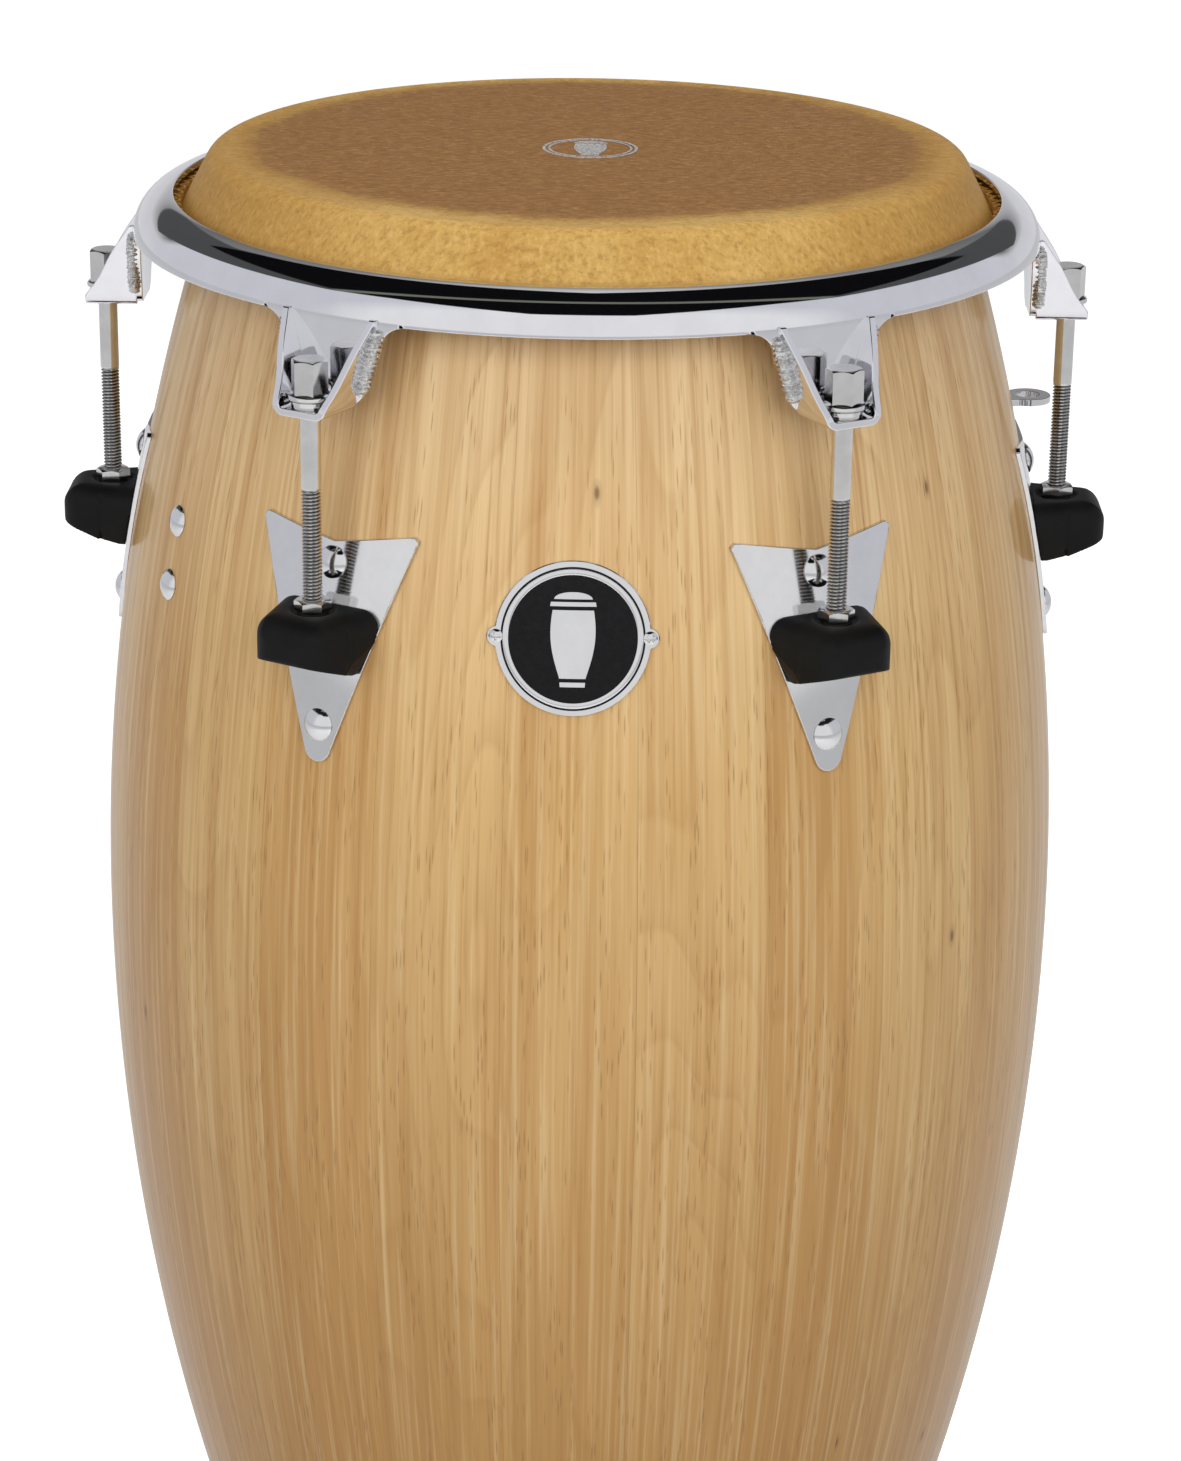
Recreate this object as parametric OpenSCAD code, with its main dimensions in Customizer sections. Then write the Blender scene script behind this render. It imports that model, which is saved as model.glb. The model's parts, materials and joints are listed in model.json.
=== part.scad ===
// Conga drum: stave shell, raised rolled rim, six tuning bolts with lug plates.
// Millimetres, +Z up, origin on the drum's axis at the floor, front towards -Y.
// A radial part is drawn along +X (x outward, y around, z up) and turned to its place.

/* [Shell] */
// Height of the shell's top edge, where the skin bears
shell_top_z = 759.5; // [750:0.5:765]
// Height of the widest point
belly_z = 433.1; // [420:0.1:450]
// Outer radius at the widest point
belly_r = 207.5; // [206:0.1:210]
// Radius of the arc from the belly up
upper_arc_r = 978.2; // [940:0.1:1010]
// Radius of the arc from the belly down
lower_arc_r = 1108.9; // [1070:0.1:1150]
// Thickness of a stave
wall = 13; // [11:0.5:15]
// Number of staves, a multiple of 24 keeps every bolt hole off the glue joints
staves = 24; // [24:24:24]
// Rounding of the bearing edge
bearing_edge_r = 6; // [4:0.5:8]
// Height of the rubber foot ring
foot_h = 20; // [16:1:24]
// Thickness of the foot ring's rubber
foot_t = 2.5; // [2:0.5:4]

/* [Head] */
// Thickness of the rawhide
skin_t = 2.5; // [1.5:0.1:3]
// Radius of the head's flat top
head_flat_r = 151; // [149:0.5:152]
// Rounding from the flat top into the collar
head_edge_r = 9; // [7:0.5:10]
// Lean of the collar from the vertical, in degrees
collar_lean = 27; // [24:1:29]
// Height of the collar's lower end
collar_end_z = 736.5; // [734:0.5:740]
// Radius of the steel flesh hoop's rod
hoop_rod_r = 4; // [3:0.5:4]
// Radius of the ring that the hoop's centre line makes
hoop_ring_r = 178.3; // [178:0.1:178.4]
// Height of the hoop's centre line
hoop_z = 733.1; // [733:0.1:733.3]

/* [Rim] */
// Centre of the rolled edge: radius from the drum's axis
roll_r = 172.7; // [172:0.1:173]
// Centre of the rolled edge: height
roll_z = 727.5; // [727:0.1:728]
// Outer radius of the roll
roll_outer = 17; // [17:0.5:18]
// Thickness of the rim's sheet and of the brackets
rim_t = 3; // [2.5:0.1:3]
// Height of the tabs' lower edge
tab_bottom_z = 694.5; // [694:0.5:696]

/* [Brackets] */
// Height of the bracket's underside
bracket_z = 693; // [692:0.5:694]
// Height where the bracket's walls meet the rim
bracket_top_z = 729.6; // [728:0.1:730]
// Radius of the bracket's front lip from the drum's axis
bracket_front_r = 211; // [210:0.5:213]
// Half width of the bracket's flat bottom
bracket_flat = 7.35; // [7:0.05:8]
// Outer radius of the bracket's lower corners
bracket_corner_r = 5; // [4:0.5:6]
// Lean of the bracket's walls from the vertical, in degrees
bracket_lean = 15.8; // [12:0.1:17]

/* [Tuning bolts] */
// Number of tuning bolts
lugs = 6; // [6:6:6]
// Azimuth of the first bolt, in degrees from the front
first_lug_az = -30; // [-30:30:-30]
// Radius of the circle that the bolts stand on
lug_circle_r = 203; // [202.5:0.1:203.5]
// Diameter of the bolt's shank
bolt_d = 7.94; // [7.94:0.01:8]
// Height of the bolt's lower end
bolt_end_z = 599; // [597:0.5:601]
// Width of the bolt's hexagon across its flats
hex_af = 13; // [12:0.1:13]
// Height of the bolt's hexagon
hex_h = 12.8; // [11:0.1:14]
// Diameter of the flange under the hexagon
flange_d = 17; // [16:0.1:17]
// Diameter of the hole in the bracket
bracket_hole_d = 8.7; // [8.5:0.1:9]
// Clearance on radius between bolt and receiver nut
thread_clearance = 0.06; // [0.03:0.01:0.09]

/* [Lugs] */
// Height of the receiver nut's top
nut_top_z = 619; // [618:0.5:621]
// Height of the receiver nut's collar
nut_collar_h = 4.2; // [4:0.1:4.4]
// Outer radius of the rubber protector from the drum's axis
block_r = 223.4; // [222:0.1:225]
// Height of the protector's top
block_top_z = 614.6; // [613:0.1:615]
// Height of the protector's lower outer edge
block_low_z = 597.2; // [596:0.1:599]
// Thickness of the steel shelf that carries the nut
shelf_t = 5; // [4:0.5:6]

/* [Side plates] */
// Thickness of the side plates
plate_t = 2; // [1.5:0.1:2.5]
// Half width of a plate between its two upper points
plate_half_w = 36; // [34:0.5:38]
// Height of the two upper points
plate_top_z = 644.4; // [642:0.1:648]
// Height of the notch between them
plate_notch_z = 638.5; // [634:0.5:641]
// Height of the rounded tip
plate_tip_z = 551.3; // [548:0.1:556]
// Radius of the tip
plate_tip_r = 6; // [4:0.5:7]
// Height of the upper carriage bolt
upper_bolt_z = 630; // [628:0.5:632]
// Height of the lower carriage bolt
lower_bolt_z = 566; // [563:0.5:569]

/* [Badge and wrench holder] */
// Height of the badge's centre
badge_z = 609.9; // [590:0.1:620]
// Radius of the badge
badge_r = 30; // [26:0.5:32]
// Thickness of the badge's plate
badge_t = 1.2; // [1:0.1:1.5]
// Azimuth of the wrench holder, in degrees from the front
holder_az = 105; // [105:15:105]
// Azimuth of the spare pair of carriage bolts, in degrees from the front
spare_az = -60; // [-60:15:-60]
// Height of the upper bolt of both pairs
pair_upper_z = 624.4; // [620:0.1:628]
// Height of the lower bolt of both pairs
pair_lower_z = 598; // [594:0.1:602]
// Radius from the drum's axis to the wrench holder's eye
eye_r = 200.6; // [199:0.1:203]
// Diameter of the hole in the wrench holder's eye
eye_hole_d = 10.5; // [9:0.1:11]

/* [Hidden] */
$fn = 96;
arc_fn = 720;
slack = 60;
stave_angle = 360 / staves;
glue_line = 0.12;
joint_angle = stave_angle - glue_line / belly_r * 180 / PI;
clamp_bolt_d = 6.35;
clamp_hole_d = 6.6;
head_d = 13;
head_h = 3.2;
washer_d = 18;
washer_t = 1.5;
nut_af = 11.1;
nut_t = 5.6;
flange_t = 3;
washer_gap = 0.1;
bolt_washer_t = 3;
bolt_seat_z = bracket_z + rim_t + bolt_washer_t + washer_gap;
nut_barrel_d = 12;
nut_barrel_z = 596;
shelf_half_w = 15;
shelf_top_z = 608;
holder_t = 3;
ring_names = ["rim_bracket", "tuning_bolt", "receiver_nut", "protector", "lug_bracket", "side_plate"];

wood = [0.86, 0.70, 0.46];
steel = [0.80, 0.80, 0.82];
rubber_black = [0.08, 0.08, 0.08];
hide = [0.74, 0.55, 0.30];

function lug_az(i) = first_lug_az + (i - 1) * 360 / lugs;
function arc_r(z) = z > belly_z ? upper_arc_r : lower_arc_r;
function shell_r(z) = belly_r - arc_r(z) + sqrt(pow(arc_r(z), 2) - pow(z - belly_z, 2));
function shell_lean(z) = asin((z - belly_z) / arc_r(z));

// Points along an arc about c, from angle a0 to a1.
function arc(c, r, a0, a1, n = 8) =
    [for (k = [0:n]) let (a = a0 + (a1 - a0) * k / n) [c[0] + r * cos(a), c[1] + r * sin(a)]];

// The same points on the other side of the middle, in the reverse order.
function mirrored(points) = [for (k = [len(points) - 1:-1:0]) [-points[k][0], points[k][1]]];

// Turns a radial part to its azimuth, measured from the front (-Y) towards +X.
module at_az(az) rotate([0, 0, az - 90]) children();

// Puts a part on the shell's outer face at height z, its +X along the face's normal.
module on_shell(z, out = 0) translate([shell_r(z), 0, z]) rotate([0, -shell_lean(z), 0])
    translate([out, 0, 0]) children();

// Lays a shape drawn in y and z across the radial direction, from radius r0 to r1.
module across(r0, r1) translate([r0, 0, 0]) rotate([90, 0, 90]) linear_extrude(r1 - r0) children();

// Lays a shape drawn in x and z along the tangent, w wide on both sides of the middle.
module along(w) translate([0, w / 2, 0]) rotate([90, 0, 0]) linear_extrude(w) children();

// Everything inside the shell's outer face moved out by out, as a half profile.
module belly_2d(out) {
    intersection() {
        translate([belly_r - upper_arc_r, belly_z]) circle(upper_arc_r + out, $fn = arc_fn);
        translate([0, belly_z]) square([belly_r + slack, shell_top_z - belly_z]);
    }
    intersection() {
        translate([belly_r - lower_arc_r, belly_z]) circle(lower_arc_r + out, $fn = arc_fn);
        square([belly_r + slack, belly_z]);
    }
}

module belly_solid(out) rotate_extrude() belly_2d(out);

// A layer of thickness t lying on the shell, cut to the outline drawn in y and z.
module on_face(out, t) difference() {
    intersection() {
        across(belly_r / 2, belly_r + slack) children();
        belly_solid(out + t);
    }
    belly_solid(out);
}

// A stave's section: the bearing edge is rounded where the outer face meets the top.
module stave_2d() {
    edge_z = shell_top_z - bearing_edge_r;
    inner_arc = upper_arc_r - bearing_edge_r;
    edge_x = belly_r - upper_arc_r + sqrt(pow(inner_arc, 2) - pow(edge_z - belly_z, 2));
    tangent = asin((edge_z - belly_z) / inner_arc);
    round_off = arc([edge_x, edge_z], bearing_edge_r, tangent - 10, 90);
    difference() {
        intersection() {
            belly_2d(0);
            translate([0, foot_t]) square([belly_r + slack, shell_top_z - foot_t]);
        }
        belly_2d(-wall);
        polygon(concat(round_off, [[edge_x, shell_top_z + slack],
            [edge_x + slack, shell_top_z + slack], [edge_x + slack, round_off[0][1]]]));
    }
}

module clamp_hole(z) on_shell(z) rotate([0, 90, 0])
    cylinder(h = 4 * wall, d = clamp_hole_d, center = true);

module screw_hole(side) rotate([0, 0, side * 8.9]) on_shell(badge_z) rotate([0, 90, 0])
    cylinder(h = 24, d = 2.9, center = true);

// Stave n stands at n times the stave angle, a glue line from the next, with the holes that fall in it.
module stave(n) {
    az = n * stave_angle;
    lug_here = abs((az - first_lug_az) % (360 / lugs)) < 1;
    pair_here = az == holder_az || az == spare_az + 360;
    at_az(az) difference() {
        rotate([0, 0, -joint_angle / 2]) rotate_extrude(angle = joint_angle) stave_2d();
        if (lug_here) {
            clamp_hole(upper_bolt_z);
            clamp_hole(lower_bolt_z);
        }
        if (pair_here) {
            clamp_hole(pair_upper_z);
            clamp_hole(pair_lower_z);
        }
        if (az == stave_angle) rotate([0, 0, -stave_angle]) screw_hole(1);
        if (az == 360 - stave_angle) rotate([0, 0, stave_angle]) screw_hole(-1);
    }
}

module shell_staves() color(wood) for (n = [0:staves - 1]) stave(n);

module foot_ring() color(rubber_black) rotate_extrude() difference() {
    intersection() {
        belly_2d(foot_t);
        translate([shell_r(0) - wall, 0]) square([wall + slack, foot_h]);
    }
    intersection() {
        belly_2d(0);
        translate([0, foot_t]) square([belly_r, foot_h]);
    }
}

// The head's half profile filled in below its outer face, shrunk by inset.
module crown_2d(inset) {
    r = head_edge_r - inset;
    cz = shell_top_z + skin_t - head_edge_r;
    x1 = head_flat_r + r * cos(collar_lean);
    z1 = cz + r * sin(collar_lean);
    square([head_flat_r, cz + r]);
    translate([head_flat_r, cz]) circle(r);
    polygon([[0, 0], [x1 + z1 * tan(collar_lean), 0], [x1, z1], [0, z1]]);
}

module head_skin() color(hide) rotate_extrude() intersection() {
    difference() {
        crown_2d(0);
        crown_2d(skin_t);
    }
    translate([0, collar_end_z]) square([belly_r, 2 * slack]);
}

// The skin's edge, folded round the flesh hoop and open at the top of its outer side.
module head_tuck() color(hide) rotate_extrude() translate([hoop_ring_r, hoop_z]) difference() {
    circle(hoop_rod_r + 2);
    circle(hoop_rod_r);
    rotate(20) square(2 * hoop_rod_r);
}

module flesh_hoop() color(steel) rotate_extrude() translate([hoop_ring_r, hoop_z])
    circle(hoop_rod_r);

// The rim's section with its tab: a quarter roll and the skirt below it.
module rim_2d(outer) {
    translate([roll_r, roll_z]) polygon(concat([[0, 0]], arc([0, 0], outer, 0, 90, 16)));
    translate([roll_r, tab_bottom_z - slack]) square([outer, roll_z - tab_bottom_z + slack]);
}

// A tab's outline: flared into the rolled edge above and rounded below.
module tab_2d() {
    half = 21.7;
    flare = 12;
    low_r = 8;
    low_x = 9.6;
    side = concat(
        arc([low_x, tab_bottom_z + low_r], low_r, -90, -14),
        arc([half + flare, roll_z - flare], flare, 180, 90),
        [[half + flare, roll_z + rim_t]]);
    polygon(concat(side, mirrored(side)));
}

module rim() color(steel) intersection() {
    rotate_extrude() difference() {
        rim_2d(roll_outer);
        rim_2d(roll_outer - rim_t);
    }
    union() {
        translate([0, 0, roll_z]) cylinder(h = slack, r = belly_r);
        for (i = [1:lugs]) at_az(lug_az(i)) across(roll_r - rim_t, lug_circle_r) tab_2d();
    }
}

// The bracket's channel seen from the front, filled in up to the height top.
module channel_2d(corner, top) {
    c = [bracket_flat, bracket_z + bracket_corner_r];
    low = arc(c, corner, -90, -bracket_lean, 6);
    wall_foot = low[len(low) - 1];
    side = concat(low, [[wall_foot[0] + (top - wall_foot[1]) * tan(bracket_lean), top]]);
    polygon(concat(side, mirrored(side)));
}

// One channel bracket: its side outline cut with its front outline.
module rim_bracket(i) color(steel) at_az(lug_az(i)) difference() {
    along(4 * roll_outer) polygon([
        [roll_r, bracket_z - 1], [bracket_front_r, bracket_z - 1],
        [bracket_front_r - 0.3, bracket_z + 4.7], [roll_r + roll_outer - 0.4, bracket_top_z],
        [roll_r, bracket_top_z]]);
    across(roll_r - 1, bracket_front_r + 1) difference() {
        translate([-slack, bracket_z - slack]) square([2 * slack, 2 * slack]);
        channel_2d(bracket_corner_r, bracket_z + 2 * slack);
    }
    across(roll_r - 1, bracket_front_r + 1)
        channel_2d(bracket_corner_r - rim_t, bracket_z + 2 * slack);
    cylinder(h = roll_z, r = roll_r + roll_outer);
    rotate_extrude() translate([roll_r, roll_z])
        polygon(concat([[-slack, 0]], arc([0, 0], roll_outer, 0, 90, 16), [[-slack, roll_outer]]));
    translate([lug_circle_r, 0, 0]) cylinder(h = bracket_z + slack, d = bracket_hole_d);
}

module at_bolt(i) at_az(lug_az(i)) translate([lug_circle_r, 0, 0]) children();

module bolt_washers() color(steel) for (i = [1:lugs]) at_bolt(i)
    translate([0, 0, bracket_z + rim_t]) difference() {
        cylinder(h = bolt_washer_t, d = flange_d - 2.5);
        translate([0, 0, -1]) cylinder(h = bolt_washer_t + 2, d = bracket_hole_d);
    }

module hexagon(af) circle(af / 2 / cos(30), $fn = 6);

module tuning_bolt(i) color(steel) at_bolt(i) {
    top = bolt_seat_z + flange_t + hex_h;
    translate([0, 0, bolt_end_z]) cylinder(h = bolt_seat_z - bolt_end_z, d = bolt_d);
    translate([0, 0, bolt_seat_z]) cylinder(h = flange_t, d = flange_d);
    intersection() {
        translate([0, 0, bolt_seat_z + flange_t]) linear_extrude(hex_h) hexagon(hex_af);
        rotate_extrude() polygon([
            [0, bolt_seat_z], [hex_af, bolt_seat_z], [hex_af, top - 6.5],
            [hex_af / 2, top], [0, top]]);
    }
}

module receiver_nut(i) color(steel) at_bolt(i) {
    collar_z = nut_top_z - nut_collar_h;
    difference() {
        union() {
            translate([0, 0, collar_z]) linear_extrude(nut_collar_h) hexagon(12.7);
            translate([0, 0, nut_barrel_z]) cylinder(h = collar_z - nut_barrel_z, d = nut_barrel_d);
        }
        cylinder(h = 2 * nut_top_z, r = bolt_d / 2 + thread_clearance);
    }
}

// The steel shelf that carries the nut, welded to the side plate.
module shelf() difference() {
    translate([0, 0, shelf_top_z - shelf_t]) linear_extrude(shelf_t) polygon([
        [belly_r - slack, -shelf_half_w], [lug_circle_r - 2, -shelf_half_w],
        [lug_circle_r + 11, -5], [lug_circle_r + 11, 5],
        [lug_circle_r - 2, shelf_half_w], [belly_r - slack, shelf_half_w]]);
    belly_solid(plate_t);
}

module lug_bracket(i) color(steel) at_az(lug_az(i)) difference() {
    shelf();
    translate([lug_circle_r, 0, 0]) cylinder(h = nut_top_z, d = nut_barrel_d);
}

// The protector from the side: rounded top edge, underside falling towards the shell.
module block_side_2d() {
    r = 10;
    low_r = 2;
    under = [lug_circle_r - 3.8, block_low_z - 8.1];
    polygon(concat(
        [under, [block_r - slack, under[1] - 1], [block_r - slack, block_top_z]],
        arc([block_r - r, block_top_z - r], r, 90, 0),
        arc([block_r - low_r, block_low_z + low_r], low_r, 0, -72, 4)));
}

// The protector from above: a block with a rounded nose, wider at the shell.
module block_plan_2d() {
    r = 10;
    half = 7;
    side = 16;
    nose = arc([block_r - r, half], r, 90 - side, 0);
    back = block_r - slack;
    back_y = nose[0][1] + (nose[0][0] - back) * tan(side);
    edge = concat([[back, back_y]], nose);
    polygon(concat(edge, [for (k = [len(edge) - 1:-1:0]) [edge[k][0], -edge[k][1]]]));
}

module protector(i) color(rubber_black) at_az(lug_az(i)) difference() {
    intersection() {
        along(3 * slack) block_side_2d();
        translate([0, 0, block_low_z - slack]) linear_extrude(2 * slack) block_plan_2d();
    }
    belly_solid(plate_t);
    shelf();
    translate([lug_circle_r, 0, block_low_z - slack]) cylinder(h = 2 * slack, d = nut_barrel_d);
}

// A side plate's outline: an arrowhead with a shallow notch between its upper points.
module plate_2d() {
    tip_c = plate_tip_z + plate_tip_r;
    dz = plate_top_z - tip_c;
    nip = 1.6;
    tangent = atan2(dz, plate_half_w) - acos(plate_tip_r / norm([plate_half_w, dz]));
    side = concat(
        arc([0, tip_c], plate_tip_r, -90, tangent),
        [[plate_half_w - nip * 0.3, plate_top_z - nip * 1.4], [plate_half_w - nip, plate_top_z],
         [0, plate_notch_z]]);
    polygon(concat(side, mirrored(side)));
}

module side_plate(i) color(steel) at_az(lug_az(i)) difference() {
    on_face(0, plate_t) plate_2d();
    clamp_hole(upper_bolt_z);
    clamp_hole(lower_bolt_z);
}

// Every place where a bolt clamps something to the shell, on its outside or its inside.
module each_clamp(inside) {
    gap = -wall - 0.4;
    for (i = [1:lugs]) for (z = [upper_bolt_z, lower_bolt_z])
        at_az(lug_az(i)) on_shell(z, inside ? gap : plate_t) children();
    for (z = [pair_upper_z, pair_lower_z]) {
        at_az(holder_az) on_shell(z, inside ? gap : holder_t) children();
        at_az(spare_az) on_shell(z, inside ? gap : 0) children();
    }
}

// A carriage bolt with its underside at x = 0 and its shank towards the shell's inside.
module carriage_bolt() {
    dome = (pow(head_d / 2, 2) + pow(head_h, 2)) / 2 / head_h;
    rotate([0, 90, 0]) {
        rotate_extrude() intersection() {
            translate([0, head_h - dome]) circle(dome);
            square([head_d, head_h]);
        }
        mirror([0, 0, 1]) cylinder(h = wall + washer_t + nut_t + 4.5, d = clamp_bolt_d);
    }
}

module carriage_bolts() color(steel) each_clamp(false) carriage_bolt();

module fender_washers() color(steel) each_clamp(true) rotate([0, -90, 0]) difference() {
    cylinder(h = washer_t, d = washer_d);
    cylinder(h = 3 * washer_t, d = clamp_hole_d, center = true);
}

module hex_nuts() color(steel) each_clamp(true) rotate([0, -90, 0])
    translate([0, 0, washer_t]) difference() {
        linear_extrude(nut_t) hexagon(nut_af);
        cylinder(h = 3 * nut_t, d = clamp_bolt_d + 0.1, center = true);
    }

module badge_outline_2d() translate([0, badge_z]) {
    circle(badge_r);
    for (s = [-1, 1]) translate([s * 29.6, 0]) circle(4.6);
}

module badge_plate() color(steel) at_az(0) difference() {
    on_face(0, badge_t) badge_outline_2d();
    screw_hole(1);
    screw_hole(-1);
}

module badge_disc() color(rubber_black) at_az(0)
    on_face(badge_t, 0.6) translate([0, badge_z]) circle(badge_r - 4.4);

module badge_screws() color(steel) at_az(0) for (s = [-1, 1])
    rotate([0, 0, s * 8.9]) on_shell(badge_z, badge_t) rotate([0, 90, 0]) {
        rotate_extrude() intersection() {
            translate([0, 1.4 - 3.4]) circle(3.4);
            square([2.75, 1.4]);
        }
        mirror([0, 0, 1]) cylinder(h = 12, d = 2.8);
    }

// A leg bolted to the shell and a flat eye that stands out from its top.
module wrench_holder() color(steel) at_az(holder_az) {
    top = 644.5;
    half_w = 8;
    difference() {
        union() {
            on_face(0, holder_t) {
                translate([-half_w, 598]) square([2 * half_w, top - 598]);
                translate([0, 598]) circle(half_w);
            }
            difference() {
                translate([0, 0, top - holder_t]) linear_extrude(holder_t) {
                    translate([eye_r, 0]) circle(10);
                    translate([belly_r / 2, -half_w]) square([eye_r - belly_r / 2, 2 * half_w]);
                }
                belly_solid(1);
            }
        }
        translate([eye_r, 0, 0]) cylinder(h = 2 * top, d = eye_hole_d);
        clamp_hole(pair_upper_z);
        clamp_hole(pair_lower_z);
    }
}

shell_staves();
foot_ring();
head_skin();
head_tuck();
flesh_hoop();
rim();
bolt_washers();
carriage_bolts();
fender_washers();
hex_nuts();
badge_plate();
badge_disc();
badge_screws();
wrench_holder();
for (i = [1:lugs]) {
    rim_bracket(i);
    tuning_bolt(i);
    receiver_nut(i);
    protector(i);
    lug_bracket(i);
    side_plate(i);
}
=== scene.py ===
"""Looks of the conga drum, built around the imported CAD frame. Metres, +Z up, front towards -Y."""
import json
import math
import random

import bmesh
import bpy
from mathutils import Matrix, Vector, noise


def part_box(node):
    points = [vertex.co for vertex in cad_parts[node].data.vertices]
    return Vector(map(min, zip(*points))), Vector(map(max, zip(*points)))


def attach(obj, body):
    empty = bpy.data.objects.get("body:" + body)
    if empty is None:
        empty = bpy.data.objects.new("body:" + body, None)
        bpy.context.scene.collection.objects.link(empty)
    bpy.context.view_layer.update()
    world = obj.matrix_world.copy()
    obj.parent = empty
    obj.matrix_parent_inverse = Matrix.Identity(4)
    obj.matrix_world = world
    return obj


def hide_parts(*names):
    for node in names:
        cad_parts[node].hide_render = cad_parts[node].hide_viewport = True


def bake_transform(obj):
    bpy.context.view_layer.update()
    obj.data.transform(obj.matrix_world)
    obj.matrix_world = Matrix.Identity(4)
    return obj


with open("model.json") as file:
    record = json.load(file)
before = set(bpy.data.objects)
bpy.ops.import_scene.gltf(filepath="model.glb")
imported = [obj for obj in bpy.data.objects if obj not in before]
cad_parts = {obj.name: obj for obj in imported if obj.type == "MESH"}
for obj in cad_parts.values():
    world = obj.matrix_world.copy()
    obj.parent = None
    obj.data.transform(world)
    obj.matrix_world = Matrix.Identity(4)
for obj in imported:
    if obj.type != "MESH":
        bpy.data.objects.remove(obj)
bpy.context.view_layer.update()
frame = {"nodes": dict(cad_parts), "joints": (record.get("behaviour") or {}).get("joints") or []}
MM = 0.001

# ---------------------------------------------------------------- sizes, worked out from the frame
spins = [j for j in frame["joints"] if j["name"].startswith("bolt_spin_")]
LUGS = len(spins)
LUG_R = math.hypot(*spins[0]["pos_m"][:2])
LUG_AZ = [round(math.degrees(math.atan2(j["pos_m"][0], -j["pos_m"][1]))) for j in spins]
SHELL_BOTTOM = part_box("shell_staves")[0].z
SHELL_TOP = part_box("shell_staves")[1].z
BELLY_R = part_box("shell_staves")[1].y
BELLY_Z = 433.1 * MM
UPPER_ARC = 978.2 * MM
LOWER_ARC = 1108.9 * MM
WALL = 13 * MM
STAVES = 24
HEAD_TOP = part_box("head_skin")[1].z
RIM_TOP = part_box("rim")[1].z
RIM_T = 3 * MM
ROLL = 17 * MM
RIM_R = 189.7 * MM
ROLL_Z = RIM_TOP - ROLL
TAB_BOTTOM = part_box("rim")[0].z
TAB_HALF = 21.7 * MM
TAB_END_R = 8 * MM
FLARE = RIM_R * math.radians(10) - TAB_HALF
BRACKET_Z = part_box("rim_bracket_1")[0].z
BRACKET_FRONT = 211 * MM
WALL_LEAN = 15.8
BRACKET_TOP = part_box("rim_bracket_1")[1].z
BOLT_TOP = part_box("tuning_bolt_1")[1].z
BOLT_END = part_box("tuning_bolt_1")[0].z
BOLT_R = 7.94 * MM / 2
PITCH = 25.4 * MM / 18
HOLE_R = 4.35 * MM
NUT_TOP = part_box("receiver_nut_1")[1].z
PLATE_T = 2 * MM
HOLDER_T = 3 * MM
BADGE_Z = 609.9 * MM
CLAMPS = [(az, z, PLATE_T) for az in LUG_AZ for z in (630 * MM, 566 * MM)]
CLAMPS += [(az, z, t) for az, t in ((105, HOLDER_T), (-60, 0)) for z in (624.4 * MM, 598 * MM)]


def shell_radius(z, out=0.0):
    """Radius of the shell's outer face at height z, moved out by out."""
    arc = UPPER_ARC if z > BELLY_Z else LOWER_ARC
    return BELLY_R - arc + math.sqrt((arc + out) ** 2 - (z - BELLY_Z) ** 2)


def shell_lean(z):
    """Angle by which the shell's outward normal rises above the horizontal."""
    return math.asin((z - BELLY_Z) / (UPPER_ARC if z > BELLY_Z else LOWER_ARC))


def turned(az):
    """Turns a part drawn with +X outwards to its azimuth, measured from the front (-Y) to +X."""
    return Matrix.Rotation(math.radians(az - 90), 4, "Z")


def on_shell(az, z, out=0.0):
    """Places a part drawn along +Z so that +Z is the shell's outward normal at height z."""
    lean = shell_lean(z)
    place = Matrix.Translation((shell_radius(z), 0, z)) @ Matrix.Rotation(-lean, 4, "Y")
    return turned(az) @ place @ Matrix.Translation((out, 0, 0)) @ Matrix.Rotation(math.pi / 2, 4, "Y")


def arc(cx, cy, r, a0, a1, n):
    """n + 1 points on an arc, angles in degrees."""
    steps = [math.radians(a0 + (a1 - a0) * k / n) for k in range(n + 1)]
    return [(cx + r * math.cos(a), cy + r * math.sin(a)) for a in steps]


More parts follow.
